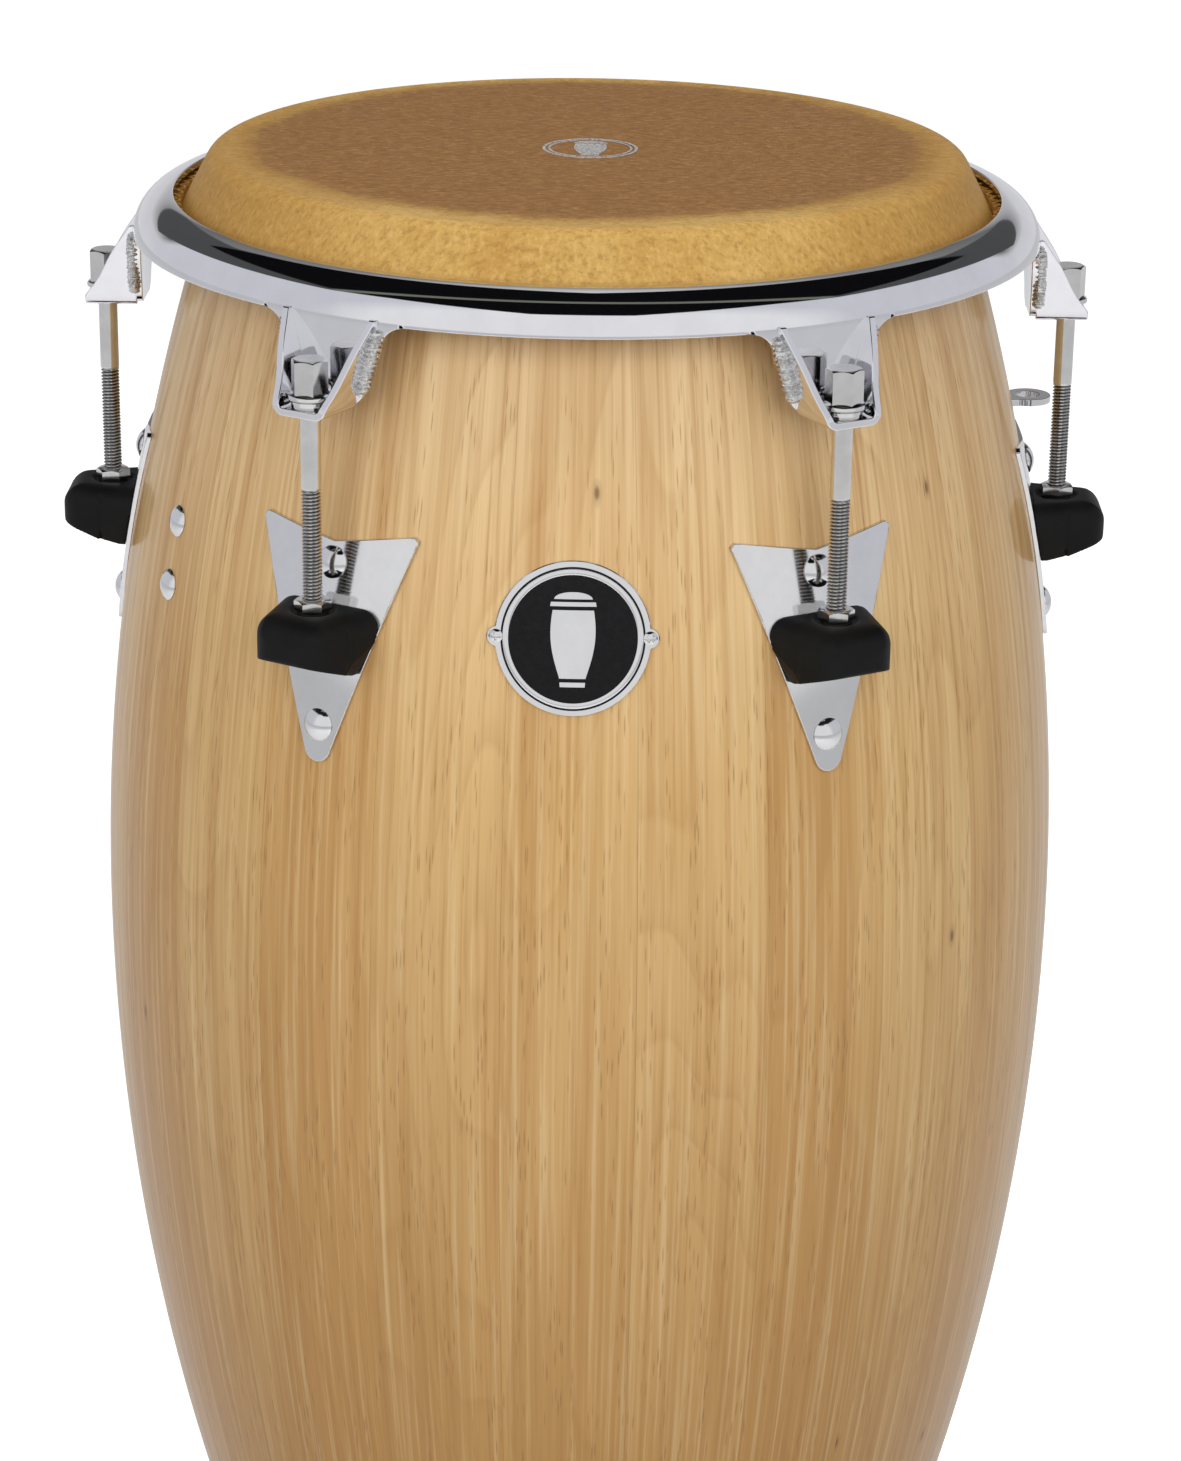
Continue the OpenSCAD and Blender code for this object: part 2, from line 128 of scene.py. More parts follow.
# ---------------------------------------------------------------- node helpers
class Nodes:
    """A short way to write a material's node tree."""

    def __init__(self, tree):
        self.tree = tree

    def add(self, kind, inputs=None, **settings):
        node = self.tree.nodes.new(kind)
        for key, value in settings.items():
            setattr(node, key, value)
        for key, value in (inputs or {}).items():
            if isinstance(value, bpy.types.NodeSocket):
                self.tree.links.new(value, node.inputs[key])
            else:
                node.inputs[key].default_value = value
        return node

    def math(self, operation, a, b=0.0, c=0.0, clamp=False):
        return self.add("ShaderNodeMath", {0: a, 1: b, 2: c}, operation=operation, use_clamp=clamp).outputs[0]

    def mapping(self, vector, scale=(1, 1, 1), location=(0, 0, 0)):
        inputs = {"Vector": vector, "Scale": scale, "Location": location}
        return self.add("ShaderNodeMapping", inputs).outputs[0]

    def noise(self, vector, scale, detail=3.0, rough=0.55):
        inputs = {"Vector": vector, "Scale": scale, "Detail": detail, "Roughness": rough}
        return self.add("ShaderNodeTexNoise", inputs).outputs["Fac"]

    def ramp(self, fac, stops):
        node = self.add("ShaderNodeValToRGB", {"Fac": fac})
        band = node.color_ramp
        while len(band.elements) < len(stops):
            band.elements.new(0.5)
        for element, (place, colour) in zip(band.elements, stops):
            element.position = place
            element.color = (*colour, 1) if not isinstance(colour, float) else (colour,) * 3 + (1,)
        return node.outputs["Color"]

    def mix(self, fac, a, b):
        ends = {k: v if isinstance(v, bpy.types.NodeSocket) else (*v, 1) for k, v in ((6, a), (7, b))}
        return self.add("ShaderNodeMix", {0: fac, **ends}, data_type="RGBA").outputs[2]

    def bump(self, height, distance, strength=1.0):
        inputs = {"Height": height, "Distance": distance, "Strength": strength}
        return self.add("ShaderNodeBump", inputs).outputs[0]

    def mul(self, a, b):
        return self.math("MULTIPLY", a, b)

    def mul_add(self, a, b, c):
        return self.math("MULTIPLY_ADD", a, b, c)

    def place(self):
        """Where the shaded point is, in the object's own coordinates."""
        return self.add("ShaderNodeTexCoord").outputs["Object"]


def material(name, **settings):
    """A new material with a Principled shader: returns it, its Nodes and the shader's node."""
    mat = bpy.data.materials.new(name)
    mat.use_nodes = True
    shader = mat.node_tree.nodes["Principled BSDF"]
    for key, value in settings.items():
        shader.inputs[key.replace("_", " ")].default_value = value
    return mat, Nodes(mat.node_tree), shader


def link(nodes, shader, **sockets):
    for key, value in sockets.items():
        nodes.tree.links.new(value, shader.inputs[key.replace("_", " ")])


# ---------------------------------------------------------------- materials
def lacquered_wood():
    """Pale hardwood: long straight grain, cathedral bands, short pores, a tone for each stave; painted shade towards
    the bottom and a painted highlight towards the top.
    """
    mat, n, shader = material("lacquered_wood", Roughness=0.32, Coat_Weight=0.32, Coat_Roughness=0.08,
                              Specular_IOR_Level=0.08)
    uv = n.add("ShaderNodeUVMap", uv_map="grain").outputs[0]
    stave = n.add("ShaderNodeAttribute", attribute_name="stave").outputs["Fac"]
    shift = n.add("ShaderNodeCombineXYZ", {k: n.mul(stave, by)
                                           for k, by in enumerate((7.3, 3.1, 11.7))}).outputs[0]
    place = n.add("ShaderNodeVectorMath", {0: uv, 1: shift}, operation="ADD").outputs[0]
    sway = n.noise(n.mapping(place, (9, 1.6, 1)), 1.0, 2.0)
    rings_at = n.mul_add(sway, 16.0, n.mul(stave, 5.0))
    across = n.add("ShaderNodeSeparateXYZ", {0: place}).outputs[0]
    rings = n.math("FRACT", n.mul_add(across, 22.0, rings_at))
    cathedral = n.ramp(rings, [(0.0, 0.0), (0.72, 0.35), (0.93, 1.0), (1.0, 0.0)])
    streak = n.noise(n.mapping(place, (75, 2.2, 1)), 1.0, 4.0, 0.6)
    fine = n.noise(n.mapping(place, (420, 6, 1)), 1.0, 3.0, 0.6)
    broad = n.noise(n.mapping(place, (14, 1.3, 1)), 1.0, 2.0, 0.5)
    tone = n.math("ADD", n.mul(broad, 0.55), n.mul(stave, 0.42))
    base = n.ramp(tone, [(0.16, (0.800, 0.555, 0.255)), (0.38, (0.745, 0.490, 0.210)),
                         (0.58, (0.690, 0.425, 0.170)), (0.78, (0.600, 0.335, 0.118))])
    height = n.add("ShaderNodeSeparateXYZ", {0: uv}).outputs[1]
    # painted shade: the wood turns darker and more orange towards the bottom, where the shell faces down away from the
    # lights
    base = n.mix(n.ramp(height, [(0.16, 0.90), (0.50, 0.0)]), base, (0.565, 0.285, 0.078))
    # painted highlight: the wood turns lighter and paler towards the top, standing in for the lacquer's reflection of
    # the lights above
    base = n.mix(n.ramp(height, [(0.55, 0.0), (0.74, 0.70)]), base, (0.92, 0.69, 0.405))
    base = n.mix(n.ramp(streak, [(0.40, 0.0), (0.70, 0.72)]), base, (0.52, 0.275, 0.088))
    base = n.mix(n.mul(cathedral, 0.26), base, (0.47, 0.235, 0.072))
    base = n.mix(n.ramp(fine, [(0.32, 0.40), (0.48, 0.0), (1.0, 0.0)]), base, (0.88, 0.67, 0.37))
    base = n.mix(n.ramp(fine, [(0.54, 0.0), (0.70, 0.55)]), base, (0.48, 0.245, 0.080))
    pore_cells = n.add("ShaderNodeTexVoronoi", {"Vector": n.mapping(place, (520, 42, 1)), "Scale": 1.0},
                       voronoi_dimensions="2D").outputs["Distance"]
    sparse = n.noise(n.mapping(place, (160, 14, 1)), 1.0, 2.0)
    pores = n.mul(n.ramp(pore_cells, [(0.10, 1.0), (0.22, 0.0)]),
                   n.ramp(sparse, [(0.47, 0.0), (0.60, 1.0)]))
    base = n.mix(n.mul(pores, 0.50), base, (0.34, 0.165, 0.055))
    cells = n.add("ShaderNodeTexVoronoi", {"Vector": n.mapping(place, (24, 11, 1)), "Scale": 1.0},
                  voronoi_dimensions="2D").outputs
    rare = n.math("GREATER_THAN", n.add("ShaderNodeSeparateColor", {0: cells["Color"]}).outputs[0], 0.93)
    knots = n.mul(n.ramp(cells["Distance"], [(0.015, 0.8), (0.035, 0.25), (0.07, 0.0)]), rare)
    base = n.mix(knots, base, (0.20, 0.09, 0.035))
    relief = n.math("SUBTRACT", n.mul(streak, 0.5), n.mul(pores, 0.8))
    link(n, shader, Base_Color=base, Normal=n.bump(relief, 0.00006, 0.5),
         Roughness=n.mul_add(streak, 0.16, 0.26))
    return mat


def raw_wood():
    """The shell's bare inside: the same wood, turned and unlacquered."""
    mat, n, shader = material("raw_wood", Roughness=0.8)
    place = n.place()
    grain = n.noise(n.mapping(place, (90, 90, 5)), 1.0, 4.0, 0.6)
    marks = n.noise(n.mapping(place, (6, 6, 420)), 1.0, 2.0)
    base = n.ramp(grain, [(0.3, (0.56, 0.37, 0.19)), (0.7, (0.42, 0.25, 0.115))])
    link(n, shader, Base_Color=base, Roughness=n.mul_add(grain, 0.2, 0.65),
         Normal=n.bump(n.math("ADD", grain, marks), 0.0003, 0.5))
    return mat


def rawhide():
    """Rawhide: matt brown on the playing face, golden and smoother on the collar."""
    mat, n, shader = material("rawhide", Roughness=0.6, Specular_IOR_Level=0.2)
    place = n.place()
    shifted = n.mapping(place, (1, 1, 0), (0, -5 * MM, 0))
    radius = n.add("ShaderNodeVectorMath", {0: shifted}, operation="LENGTH").outputs["Value"]
    wide = n.noise(place, 9.0, 4.0, 0.6)
    ragged = n.noise(place, 70.0, 3.0, 0.7)
    grit = n.noise(place, 420.0, 2.0, 0.6)
    rough_edge = n.mul_add(ragged, 0.010, n.mul(grit, 0.005))
    edge = n.math("ADD", radius, n.mul_add(wide, 0.018, rough_edge))
    brown = n.ramp(n.mul(edge, 4.0), [(0.590, 1.0), (0.618, 0.90), (0.630, 0.42), (0.648, 0.0)])
    hair = n.noise(n.mapping(place, (230, 520, 230)), 1.0, 3.0, 0.6)
    mottle = n.noise(place, 26.0, 4.0, 0.62)
    speck = n.add("ShaderNodeTexVoronoi", {"Vector": place, "Scale": 520.0}).outputs["Distance"]
    gold = n.ramp(mottle, [(0.28, (0.505, 0.280, 0.062)), (0.50, (0.575, 0.342, 0.090)),
                           (0.72, (0.630, 0.400, 0.122))])
    strands = n.noise(n.mapping(place, (520, 520, 150)), 1.0, 3.0, 0.65)
    gold = n.mix(n.ramp(strands, [(0.34, 0.20), (0.50, 0.0), (0.66, 0.20)]), gold,
                 n.mix(n.ramp(strands, [(0.49, 0.0), (0.51, 1.0)]), (0.44, 0.235, 0.050), (0.88, 0.62, 0.280)))
    sides = n.math("ABSOLUTE", n.add("ShaderNodeSeparateXYZ", {0: place}).outputs[0])
    # painted shade: the golden collar darkens towards its left and right sides, where it turns away from the front
    # lights
    painted_side_shade = n.ramp(n.mul(sides, 5.0), [(0.35, 0.0), (0.75, 0.75)])
    gold = n.mix(painted_side_shade, gold, (0.450, 0.235, 0.048))
    top = n.ramp(hair, [(0.30, (0.225, 0.095, 0.022)), (0.52, (0.300, 0.138, 0.034)),
                        (0.74, (0.385, 0.190, 0.056))])
    top = n.mix(n.mul(mottle, 0.35), top, (0.30, 0.140, 0.036))
    base = n.mix(brown, gold, top)
    rim_line = n.ramp(n.mul(edge, 4.0), [(0.612, 0.0), (0.640, 0.75), (0.668, 0.0)])
    base = n.mix(n.mul(rim_line, n.ramp(grit, [(0.38, 0.15), (0.60, 1.0)])),
                 base, (0.36, 0.185, 0.028))
    base = n.mix(n.ramp(grit, [(0.32, 0.20), (0.42, 0.0)]), base, (0.34, 0.175, 0.040))
    grain = n.noise(n.mapping(place, (300, 620, 300)), 1.0, 4.0, 0.7)
    base = n.mix(n.ramp(grain, [(0.36, 0.30), (0.48, 0.0)]), base, (0.150, 0.066, 0.018))
    base = n.mix(n.ramp(grain, [(0.54, 0.0), (0.68, 0.22)]), base, (0.860, 0.560, 0.250))
    fibres = n.mul_add(hair, 0.5, n.mul_add(grain, 0.9, n.mul(speck, 0.3)))
    link(n, shader, Base_Color=base, Normal=n.bump(fibres, 0.00035, 0.6),
         Roughness=n.mul_add(mottle, 0.16, 0.50))
    return mat


def stamp_ink():
    """Worn silver ink on the head: flakes of it are missing."""
    mat, n, shader = material("stamp_ink", Roughness=0.42, Metallic=0.35)
    place = n.place()
    wear = n.noise(place, 900.0, 3.0, 0.7)
    base = n.ramp(wear, [(0.36, (0.34, 0.26, 0.19)), (0.50, (0.66, 0.66, 0.65))])
    link(n, shader, Base_Color=base, Alpha=n.ramp(n.noise(place, 480.0, 3.0, 0.7),
                                                  [(0.36, 0.0), (0.44, 0.95)]))
    return mat


def polished(name, colour, rough, grain_scale=60.0, wear=0.05):
    """Polished metal with faint smudges and hairlines."""
    mat, n, shader = material(name, Metallic=1.0, Roughness=rough)
    place = n.place()
    smudge = n.noise(place, grain_scale, 4.0, 0.6)
    hair = n.noise(n.mapping(place, (900, 900, 60)), 1.0, 2.0)
    dark = tuple(c * 0.93 for c in colour)
    base = n.ramp(smudge, [(0.35, colour), (0.75, dark)])
    link(n, shader, Base_Color=base, Roughness=n.mul_add(smudge, wear, rough),
         Normal=n.bump(hair, 0.000004, 0.3))
    return mat


def machined_steel():
    """Bright machined steel: fine turned lines round the bolt, and painted shade in the thread's grooves."""
    mat, n, shader = material("machined_steel", Metallic=1.0)
    place = n.place()
    lines = n.noise(n.mapping(place, (40, 40, 2600)), 1.0, 2.0)
    stain = n.noise(place, 120.0, 4.0, 0.6)
    groove = n.add("ShaderNodeAttribute", attribute_name="groove").outputs["Fac"]
    base = n.ramp(stain, [(0.30, (0.78, 0.77, 0.755)), (0.70, (0.66, 0.655, 0.645))])
    # painted shade: the thread's grooves are darkened by their depth
    base = n.mix(n.ramp(groove, [(0.25, 0.0), (0.85, 0.88)]), base, (0.07, 0.07, 0.072))
    link(n, shader, Base_Color=base, Roughness=n.mul_add(lines, 0.12, 0.07),
         Normal=n.bump(lines, 0.00001, 0.35))
    return mat


def zinc():
    """Zinc plated steel with its mottled crystals, for the hidden hardware."""
    mat, n, shader = material("zinc_plate", Metallic=1.0)
    place = n.place()
    cells = n.add("ShaderNodeTexVoronoi", {"Vector": place, "Scale": 420.0}).outputs["Color"]
    tone = n.noise(cells, 3.0, 1.0)
    base = n.ramp(tone, [(0.3, (0.50, 0.50, 0.49)), (0.7, (0.68, 0.68, 0.66))])
    link(n, shader, Base_Color=base, Roughness=n.mul_add(tone, 0.2, 0.28))
    return mat


def weld_metal():
    """Plated weld: bright but lumpy."""
    mat, n, shader = material("weld_metal", Metallic=1.0)
    place = n.place()
    lumps = n.noise(place, 700.0, 4.0, 0.65)
    base = n.ramp(lumps, [(0.35, (0.52, 0.51, 0.50)), (0.62, (0.86, 0.86, 0.85))])
    link(n, shader, Base_Color=base, Roughness=n.mul_add(lumps, 0.3, 0.10),
         Normal=n.bump(lumps, 0.0007, 0.9))
    return mat


def black_rubber(name, lift=1.0):
    """Moulded rubber, matt, with a fine grain and dusty patches."""
    mat, n, shader = material(name, Specular_IOR_Level=0.14)
    place = n.place()
    grain = n.noise(place, 1900.0, 2.0, 0.6)
    dust = n.noise(place, 60.0, 4.0, 0.6)
    base = n.ramp(dust, [(0.35, (0.0045 * lift,) * 3), (0.75, (0.0085 * lift,) * 3)])
    link(n, shader, Base_Color=base, Roughness=n.mul_add(dust, 0.22, 0.42),
         Normal=n.bump(grain, 0.00006, 0.5))
    return mat


def black_enamel():
    """Gloss black enamel with a slight orange peel."""
    mat, n, shader = material("black_enamel", Coat_Weight=0.12, Coat_Roughness=0.05, Specular_IOR_Level=0.1)
    place = n.place()
    peel = n.noise(place, 380.0, 2.0)
    base = n.ramp(peel, [(0.3, (0.0035, 0.0035, 0.004)), (0.7, (0.007, 0.007, 0.008))])
    link(n, shader, Base_Color=base, Roughness=n.mul_add(peel, 0.1, 0.22),
         Normal=n.bump(peel, 0.00001, 0.3))
    return mat


WOOD, RAW, HIDE, INK = lacquered_wood(), raw_wood(), rawhide(), stamp_ink()
CHROME = polished("chrome_rim", (0.80, 0.80, 0.83), 0.025)
TRIM = polished("chrome_trim", (0.74, 0.74, 0.75), 0.06, 90.0, 0.07)
STEEL, ZINC, WELD = machined_steel(), zinc(), weld_metal()
RUBBER, FOOT_RUBBER, ENAMEL = black_rubber("black_rubber"), black_rubber("foot_rubber", 2.0), black_enamel()


# ---------------------------------------------------------------- mesh helpers
def mesh(name, verts, faces, mats, angle=35.0, face_mats=None):
    """A mesh with smooth shading, broken where faces meet at more than angle."""
    data = bpy.data.meshes.new(name)
    data.from_pydata([tuple(v) for v in verts], [], faces)
    for mat in mats if isinstance(mats, (list, tuple)) else [mats]:
        data.materials.append(mat)
    if face_mats:
        data.polygons.foreach_set("material_index", face_mats)
    data.validate()
    data.update()
    data.shade_smooth()
    data.set_sharp_from_angle(angle=math.radians(angle))
    return data


def strip(rows, close_rows=False, close_cols=False):
    """Vertices and quads of a grid given as rows of points."""
    cols = len(rows[0])
    verts = [p for row in rows for p in row]
    faces = []
    for r in range(len(rows) if close_rows else len(rows) - 1):
        for c in range(cols if close_cols else cols - 1):
            r2, c2 = (r + 1) % len(rows), (c + 1) % cols
            faces.append((r * cols + c, r * cols + c2, r2 * cols + c2, r2 * cols + c))
    return verts, faces


def bar(rows):
    """A closed solid through rows of points, with flat ends."""
    verts, faces = strip(rows, close_cols=True)
    n, last = len(rows[0]), len(rows) - 1
    return verts, faces + [tuple(range(n)), tuple(last * n + k for k in reversed(range(n)))]


def join(*parts):
    """Several (verts, faces) in one."""
    verts, faces = [], []
    for v, f in parts:
        faces += [tuple(i + len(verts) for i in face) for face in f]
        verts += v
    return verts, faces


def lathe(profile, segs=64, closed=False):
    """Turns (radius, height) points round Z: an open profile has its ends capped on the axis."""
    angles = [2 * math.pi * k / segs for k in range(segs)]
    ring = [[(r * math.cos(a), r * math.sin(a), z) for a in angles] for r, z in profile]
    if closed:
        return strip(ring, True, True)
    verts, faces = strip(ring, False, True)
    for row, order in ((0, 1), (len(profile) - 1, -1)):
        if profile[row][0] > 1e-7:
            faces.append(tuple(row * segs + k for k in range(segs))[::order])
    return verts, faces


def tidied(data):
    """Merges points that coincide and turns the faces outwards."""
    bm = bmesh.new()
    bm.from_mesh(data)
    bmesh.ops.remove_doubles(bm, verts=bm.verts, dist=1e-6)
    bmesh.ops.dissolve_degenerate(bm, edges=bm.edges, dist=1e-7)
    bmesh.ops.recalc_face_normals(bm, faces=bm.faces)
    bm.to_mesh(data)
    bm.free()
    data.set_sharp_from_angle(angle=math.radians(35))
    return data


def piece(name, data, body, nodes=(), place=None, bevel=0.0):
    """Puts a mesh in the scene on its body: it stands for nodes, which it hides."""
    obj = bpy.data.objects.new(name, data)
    bpy.context.collection.objects.link(obj)
    if place is not None:
        obj.matrix_world = place
    if bevel:
        mod = obj.modifiers.new("edges", "BEVEL")
        mod.width, mod.segments, mod.limit_method = bevel, 3, "ANGLE"
        mod.angle_limit, mod.use_clamp_overlap = math.radians(40), False
        mod.harden_normals = True
    if body:
        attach(obj, body)
    if nodes:
        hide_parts(*nodes)
    return obj


def baked(obj):
    """The object's mesh with its modifiers applied, taking the object away."""
    graph = bpy.context.evaluated_depsgraph_get()
    data = bpy.data.meshes.new_from_object(obj.evaluated_get(graph))
    bpy.data.objects.remove(obj)
    return data


def loose(data):
    obj = bpy.data.objects.new("tool", data)
    bpy.context.collection.objects.link(obj)
    return obj


# ---------------------------------------------------------------- shell
def shell():
    """All staves in one piece: each is a closed solid with its own tone."""
    rng = random.Random(7)
    top_r = 6 * MM
    edge_z = SHELL_TOP - top_r
    inner_arc = UPPER_ARC - top_r
    edge_x = BELLY_R - UPPER_ARC + math.sqrt(inner_arc ** 2 - (edge_z - BELLY_Z) ** 2)
    tangent = math.degrees(math.asin((edge_z - BELLY_Z) / inner_arc))
    heights = [SHELL_BOTTOM + (edge_z - SHELL_BOTTOM) * k / 60 for k in range(61)]
    outer = [(shell_radius(z), z) for z in heights]
    bearing = arc(edge_x, edge_z, top_r, tangent, 90, 8)
    inner = [(shell_radius(z, -WALL), z) for z in [SHELL_TOP] + heights[::-5]]
    profile = outer + bearing + inner
    last_outer = len(outer) + len(bearing) - 1
    cols = 10
    gap = 0.00004 / BELLY_R
    verts, faces, mats, tones = [], [], [], []
    for stave in range(STAVES):
        tone = rng.random()
        rows = []
        for k in range(cols + 1):
            a = math.radians((stave - 0.5 + k / cols) * 360 / STAVES)
            a += gap * (1 - 2 * k / cols)
            rows.append([(r * math.sin(a), -r * math.cos(a), z) for r, z in profile])
        v, f = bar(rows)
        n = len(profile)
        mats += [0 if (i % n) < last_outer else 1 for i in range(cols * n)] + [1, 1]
        verts, faces = join((verts, faces), (v, f))
        tones += [tone] * len(v)
    data = mesh("shell", verts, faces, [WOOD, RAW], 40, mats)
    data.attributes.new("stave", "FLOAT", "POINT").data.foreach_set("value", tones)
    layer = data.uv_layers.new(name="grain")
    for poly in data.polygons:
        stave = math.floor((math.degrees(math.atan2(poly.center.x, -poly.center.y)) % 360)
                           / (360 / STAVES) + 0.5)
        for loop in poly.loop_indices:
            co = data.vertices[data.loops[loop].vertex_index].co
            a = math.atan2(co.x, -co.y) % (2 * math.pi)
            if stave == STAVES and a < math.pi:
                a += 2 * math.pi
            layer.data[loop].uv = (a * BELLY_R, co.z)
    piece("shell", data, "root", ["shell_staves"])


def foot_ring():
    """Rubber ring round the foot with two moulded ribs."""
    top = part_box("foot_ring")[1].z
    out_r = shell_radius(0) + 2.5 * MM
    in_r = shell_radius(0) - WALL
    lip = 1.2 * MM
    side = []
    for k in range(41):
        z = lip + (top - 2 * lip) * k / 40
        rib = -0.8 * MM * max(0.0, math.cos((z / top - 0.5) * 4 * math.pi)) ** 2
        side.append((shell_radius(z, 2.5 * MM) + rib, z))
    profile = arc(out_r - lip, lip, lip, -90, 0, 5) + side
    profile += [(shell_radius(top, 2.2 * MM) - 0.6 * MM, top), (shell_radius(top, 0), top)]
    profile += [(shell_radius(2.5 * MM, 0), 2.5 * MM), (in_r, 2.5 * MM), (in_r, 0.6 * MM), (in_r + lip / 2, 0)]
    data = tidied(mesh("foot_ring", *lathe(profile, 192, True), FOOT_RUBBER))
    piece("foot_ring", data, "root", ["foot_ring"])


# ---------------------------------------------------------------- head
def collar_profile():
    """Outer line of the head from the flat top down the collar."""
    flat, edge, lean = 151 * MM, 9 * MM, 27
    cz = HEAD_TOP - edge
    top = [(flat * (k / 40) ** 0.8, HEAD_TOP) for k in range(41)]
    turn = arc(flat, cz, edge, 90, lean, 14)[1:]
    r0, z0 = turn[-1]
    down = []
    for k in range(1, 15):
        z = z0 + (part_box("head_skin")[0].z - z0) * k / 14
        down.append((r0 + (z0 - z) * math.tan(math.radians(lean)), z))
    return top + turn + down


def head():
    """The stretched skin in one closed piece: it bends between the shell and the rim."""
    outer = collar_profile()
    inner = []
    for i in range(len(outer) - 1, -1, -4):
        r, z = outer[i]
        r2, z2 = outer[min(i + 1, len(outer) - 1)]
        r1, z1 = outer[max(i - 1, 0)]
        tangent = Vector((r2 - r1, z2 - z1)).normalized()
        inner.append((max(r + tangent.y * 2.4 * MM, 0.0), z - tangent.x * 2.4 * MM))
    inner[-1] = (0.0, HEAD_TOP - 2.4 * MM)
    verts, faces = lathe(outer + inner, 256)
    waved = []
    for x, y, z in verts:
        r = math.hypot(x, y)
        sway = noise.noise(Vector((x, y, 0)) * 9) * 0.35 * MM
        pull = math.cos(math.atan2(x, -y) * LUGS + math.pi) * 0.25 * MM
        share = min(max((HEAD_TOP - 4 * MM - z) / (14 * MM), 0.0), 1.0)
        grow = 1 + share * (sway + pull) / max(r, 0.01)
        waved.append((x * grow, y * grow, z - (0.25 * MM + sway) * (1 - share) * (r < 0.15)))
    data = tidied(mesh("head_skin", waved, faces, HIDE, 60))
    skin = piece("head_skin", data, None, ["head_skin"])
    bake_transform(skin)


def head_tuck():
    """The skin's edge folded round the hoop, and its pleated rim standing up inside the gap."""
    low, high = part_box("head_tuck")
    cr, cz, tube = high.y - 6 * MM, (low.z + high.z) / 2, 5.9 * MM
    segs, pleats = 756, 126
    rows = []
    for k in range(24):
        a = 2 * math.pi * k / 24
        row = []
        for s in range(segs):
            t = 2 * math.pi * s / segs
            ripple = 0.35 * MM * math.sin(t * pleats) * max(0.0, math.sin(a)) * (math.cos(a) < 0.4)
            r = cr + (tube - 0.3 * MM + ripple) * math.cos(a)
            row.append((r * math.sin(t), -r * math.cos(t), cz + (tube - 0.3 * MM + ripple) * math.sin(a)))
        rows.append(row)
    fold = strip(rows, True, True)
    thick, foot, crest = 1.5 * MM, cz - 4.5 * MM, cz + 7.6 * MM
    rows = []
    for side, share in [(-1, k / 8) for k in range(9)] + [(1, 1 - k / 8) for k in range(9)]:
        row = []
        for s in range(segs):
            t = 2 * math.pi * s / segs
            wave = t * pleats + 0.9 * noise.noise(Vector((math.sin(t) * 9, math.cos(t) * 9, 0)))
            fold_out = math.asin(0.93 * math.sin(wave)) / 1.2
            ragged = noise.noise(Vector((math.sin(t) * 31, math.cos(t) * 31, 5)))
            z = foot + (crest - foot + 1.1 * MM * ragged * share) * share
            r = cr - 6.7 * MM + (0.25 + 0.75 * share) * 2.0 * MM * fold_out
            r += side * thick / 2 * (1 - 0.4 * share ** 6)
            row.append((r * math.sin(t), -r * math.cos(t), z))
        rows.append(row)
    ruffle = strip(rows, True, True)
    data = tidied(mesh("head_tuck", *join(fold, ruffle), HIDE, 60))
    piece("head_tuck", data, "rim", ["head_tuck"])


def head_stamp():
    """A worn generic ring with a small drum in it, printed on the playing face."""
    place = Matrix.Translation((1.0 * MM, -4 * MM, HEAD_TOP - 0.1 * MM))
    t = 0.08 * MM
    parts = []
    for r0, r1 in ((16.6, 17.6), (18.6, 19.9)):
        parts.append(lathe([(r0 * MM, -t), (r1 * MM, -t), (r1 * MM, t), (r0 * MM, t)], 96, True))
    parts += [field_solid(rows, -t, t, lambda x, y, out: (x, y, out)) for rows in drum_mark(29 * MM)]
    data = tidied(mesh("head_stamp", *join(*parts), INK))
    piece("head_stamp", data, "root", place=place)


def drum_mark(height):
    """A plain conga in four separate fields, each a list of (half width, height) rows from the top down."""
    half, belly, mouth, foot = height / 2, height * 0.27, height * 0.20, height * 0.13
    turns = [math.pi / 2 * k / 10 for k in range(1, 11)]
    crown = [(mouth * math.sin(a), half * (0.85 + 0.15 * math.cos(a))) for a in turns]

    def width(y):
        share = (half * 0.80 - y) / (half * 1.80)
        return mouth + (foot - mouth) * share + (belly - mouth) * math.sin(math.pi * min(share * 1.12, 1.0)) * 0.9

    fields = [crown]
    for top, low, grow in ((0.79, 0.70, 1.16), (0.62, -0.82, 1.0), (-0.90, -1.0, 1.0)):
        ys = [half * (top + (low - top) * k / 16) for k in range(17)]
        fields.append([(width(y) * grow, y) for y in ys])
    return fields


def field_solid(rows, low, high, lay):
    """A field of the mark as a thin solid: lay places (x, y, out)."""
    loops = []
    for w, y in rows:
        xs = [w * (j / 5 - 1) for j in range(11)]
        loops.append([lay(x, y, high) for x in xs] + [lay(x, y, low) for x in reversed(xs)])
    return bar(loops)


# ---------------------------------------------------------------- rim
def tab_half_width(z):
    """Half width of a tab at height z: flared above, straight, rounded below."""
    half, flare, low_r, low_x = TAB_HALF, FLARE, TAB_END_R, 7.4 * MM
    if z > ROLL_Z - flare:
        return half + flare - math.sqrt(max(flare ** 2 - (z - ROLL_Z + flare) ** 2, 0))
    if z > TAB_BOTTOM + low_r:
        share = (z - TAB_BOTTOM - low_r) / (ROLL_Z - flare - TAB_BOTTOM - low_r)
        return low_x + low_r + (half - low_x - low_r) * share
    return low_x + math.sqrt(max(low_r ** 2 - (TAB_BOTTOM + low_r - z) ** 2, 0))


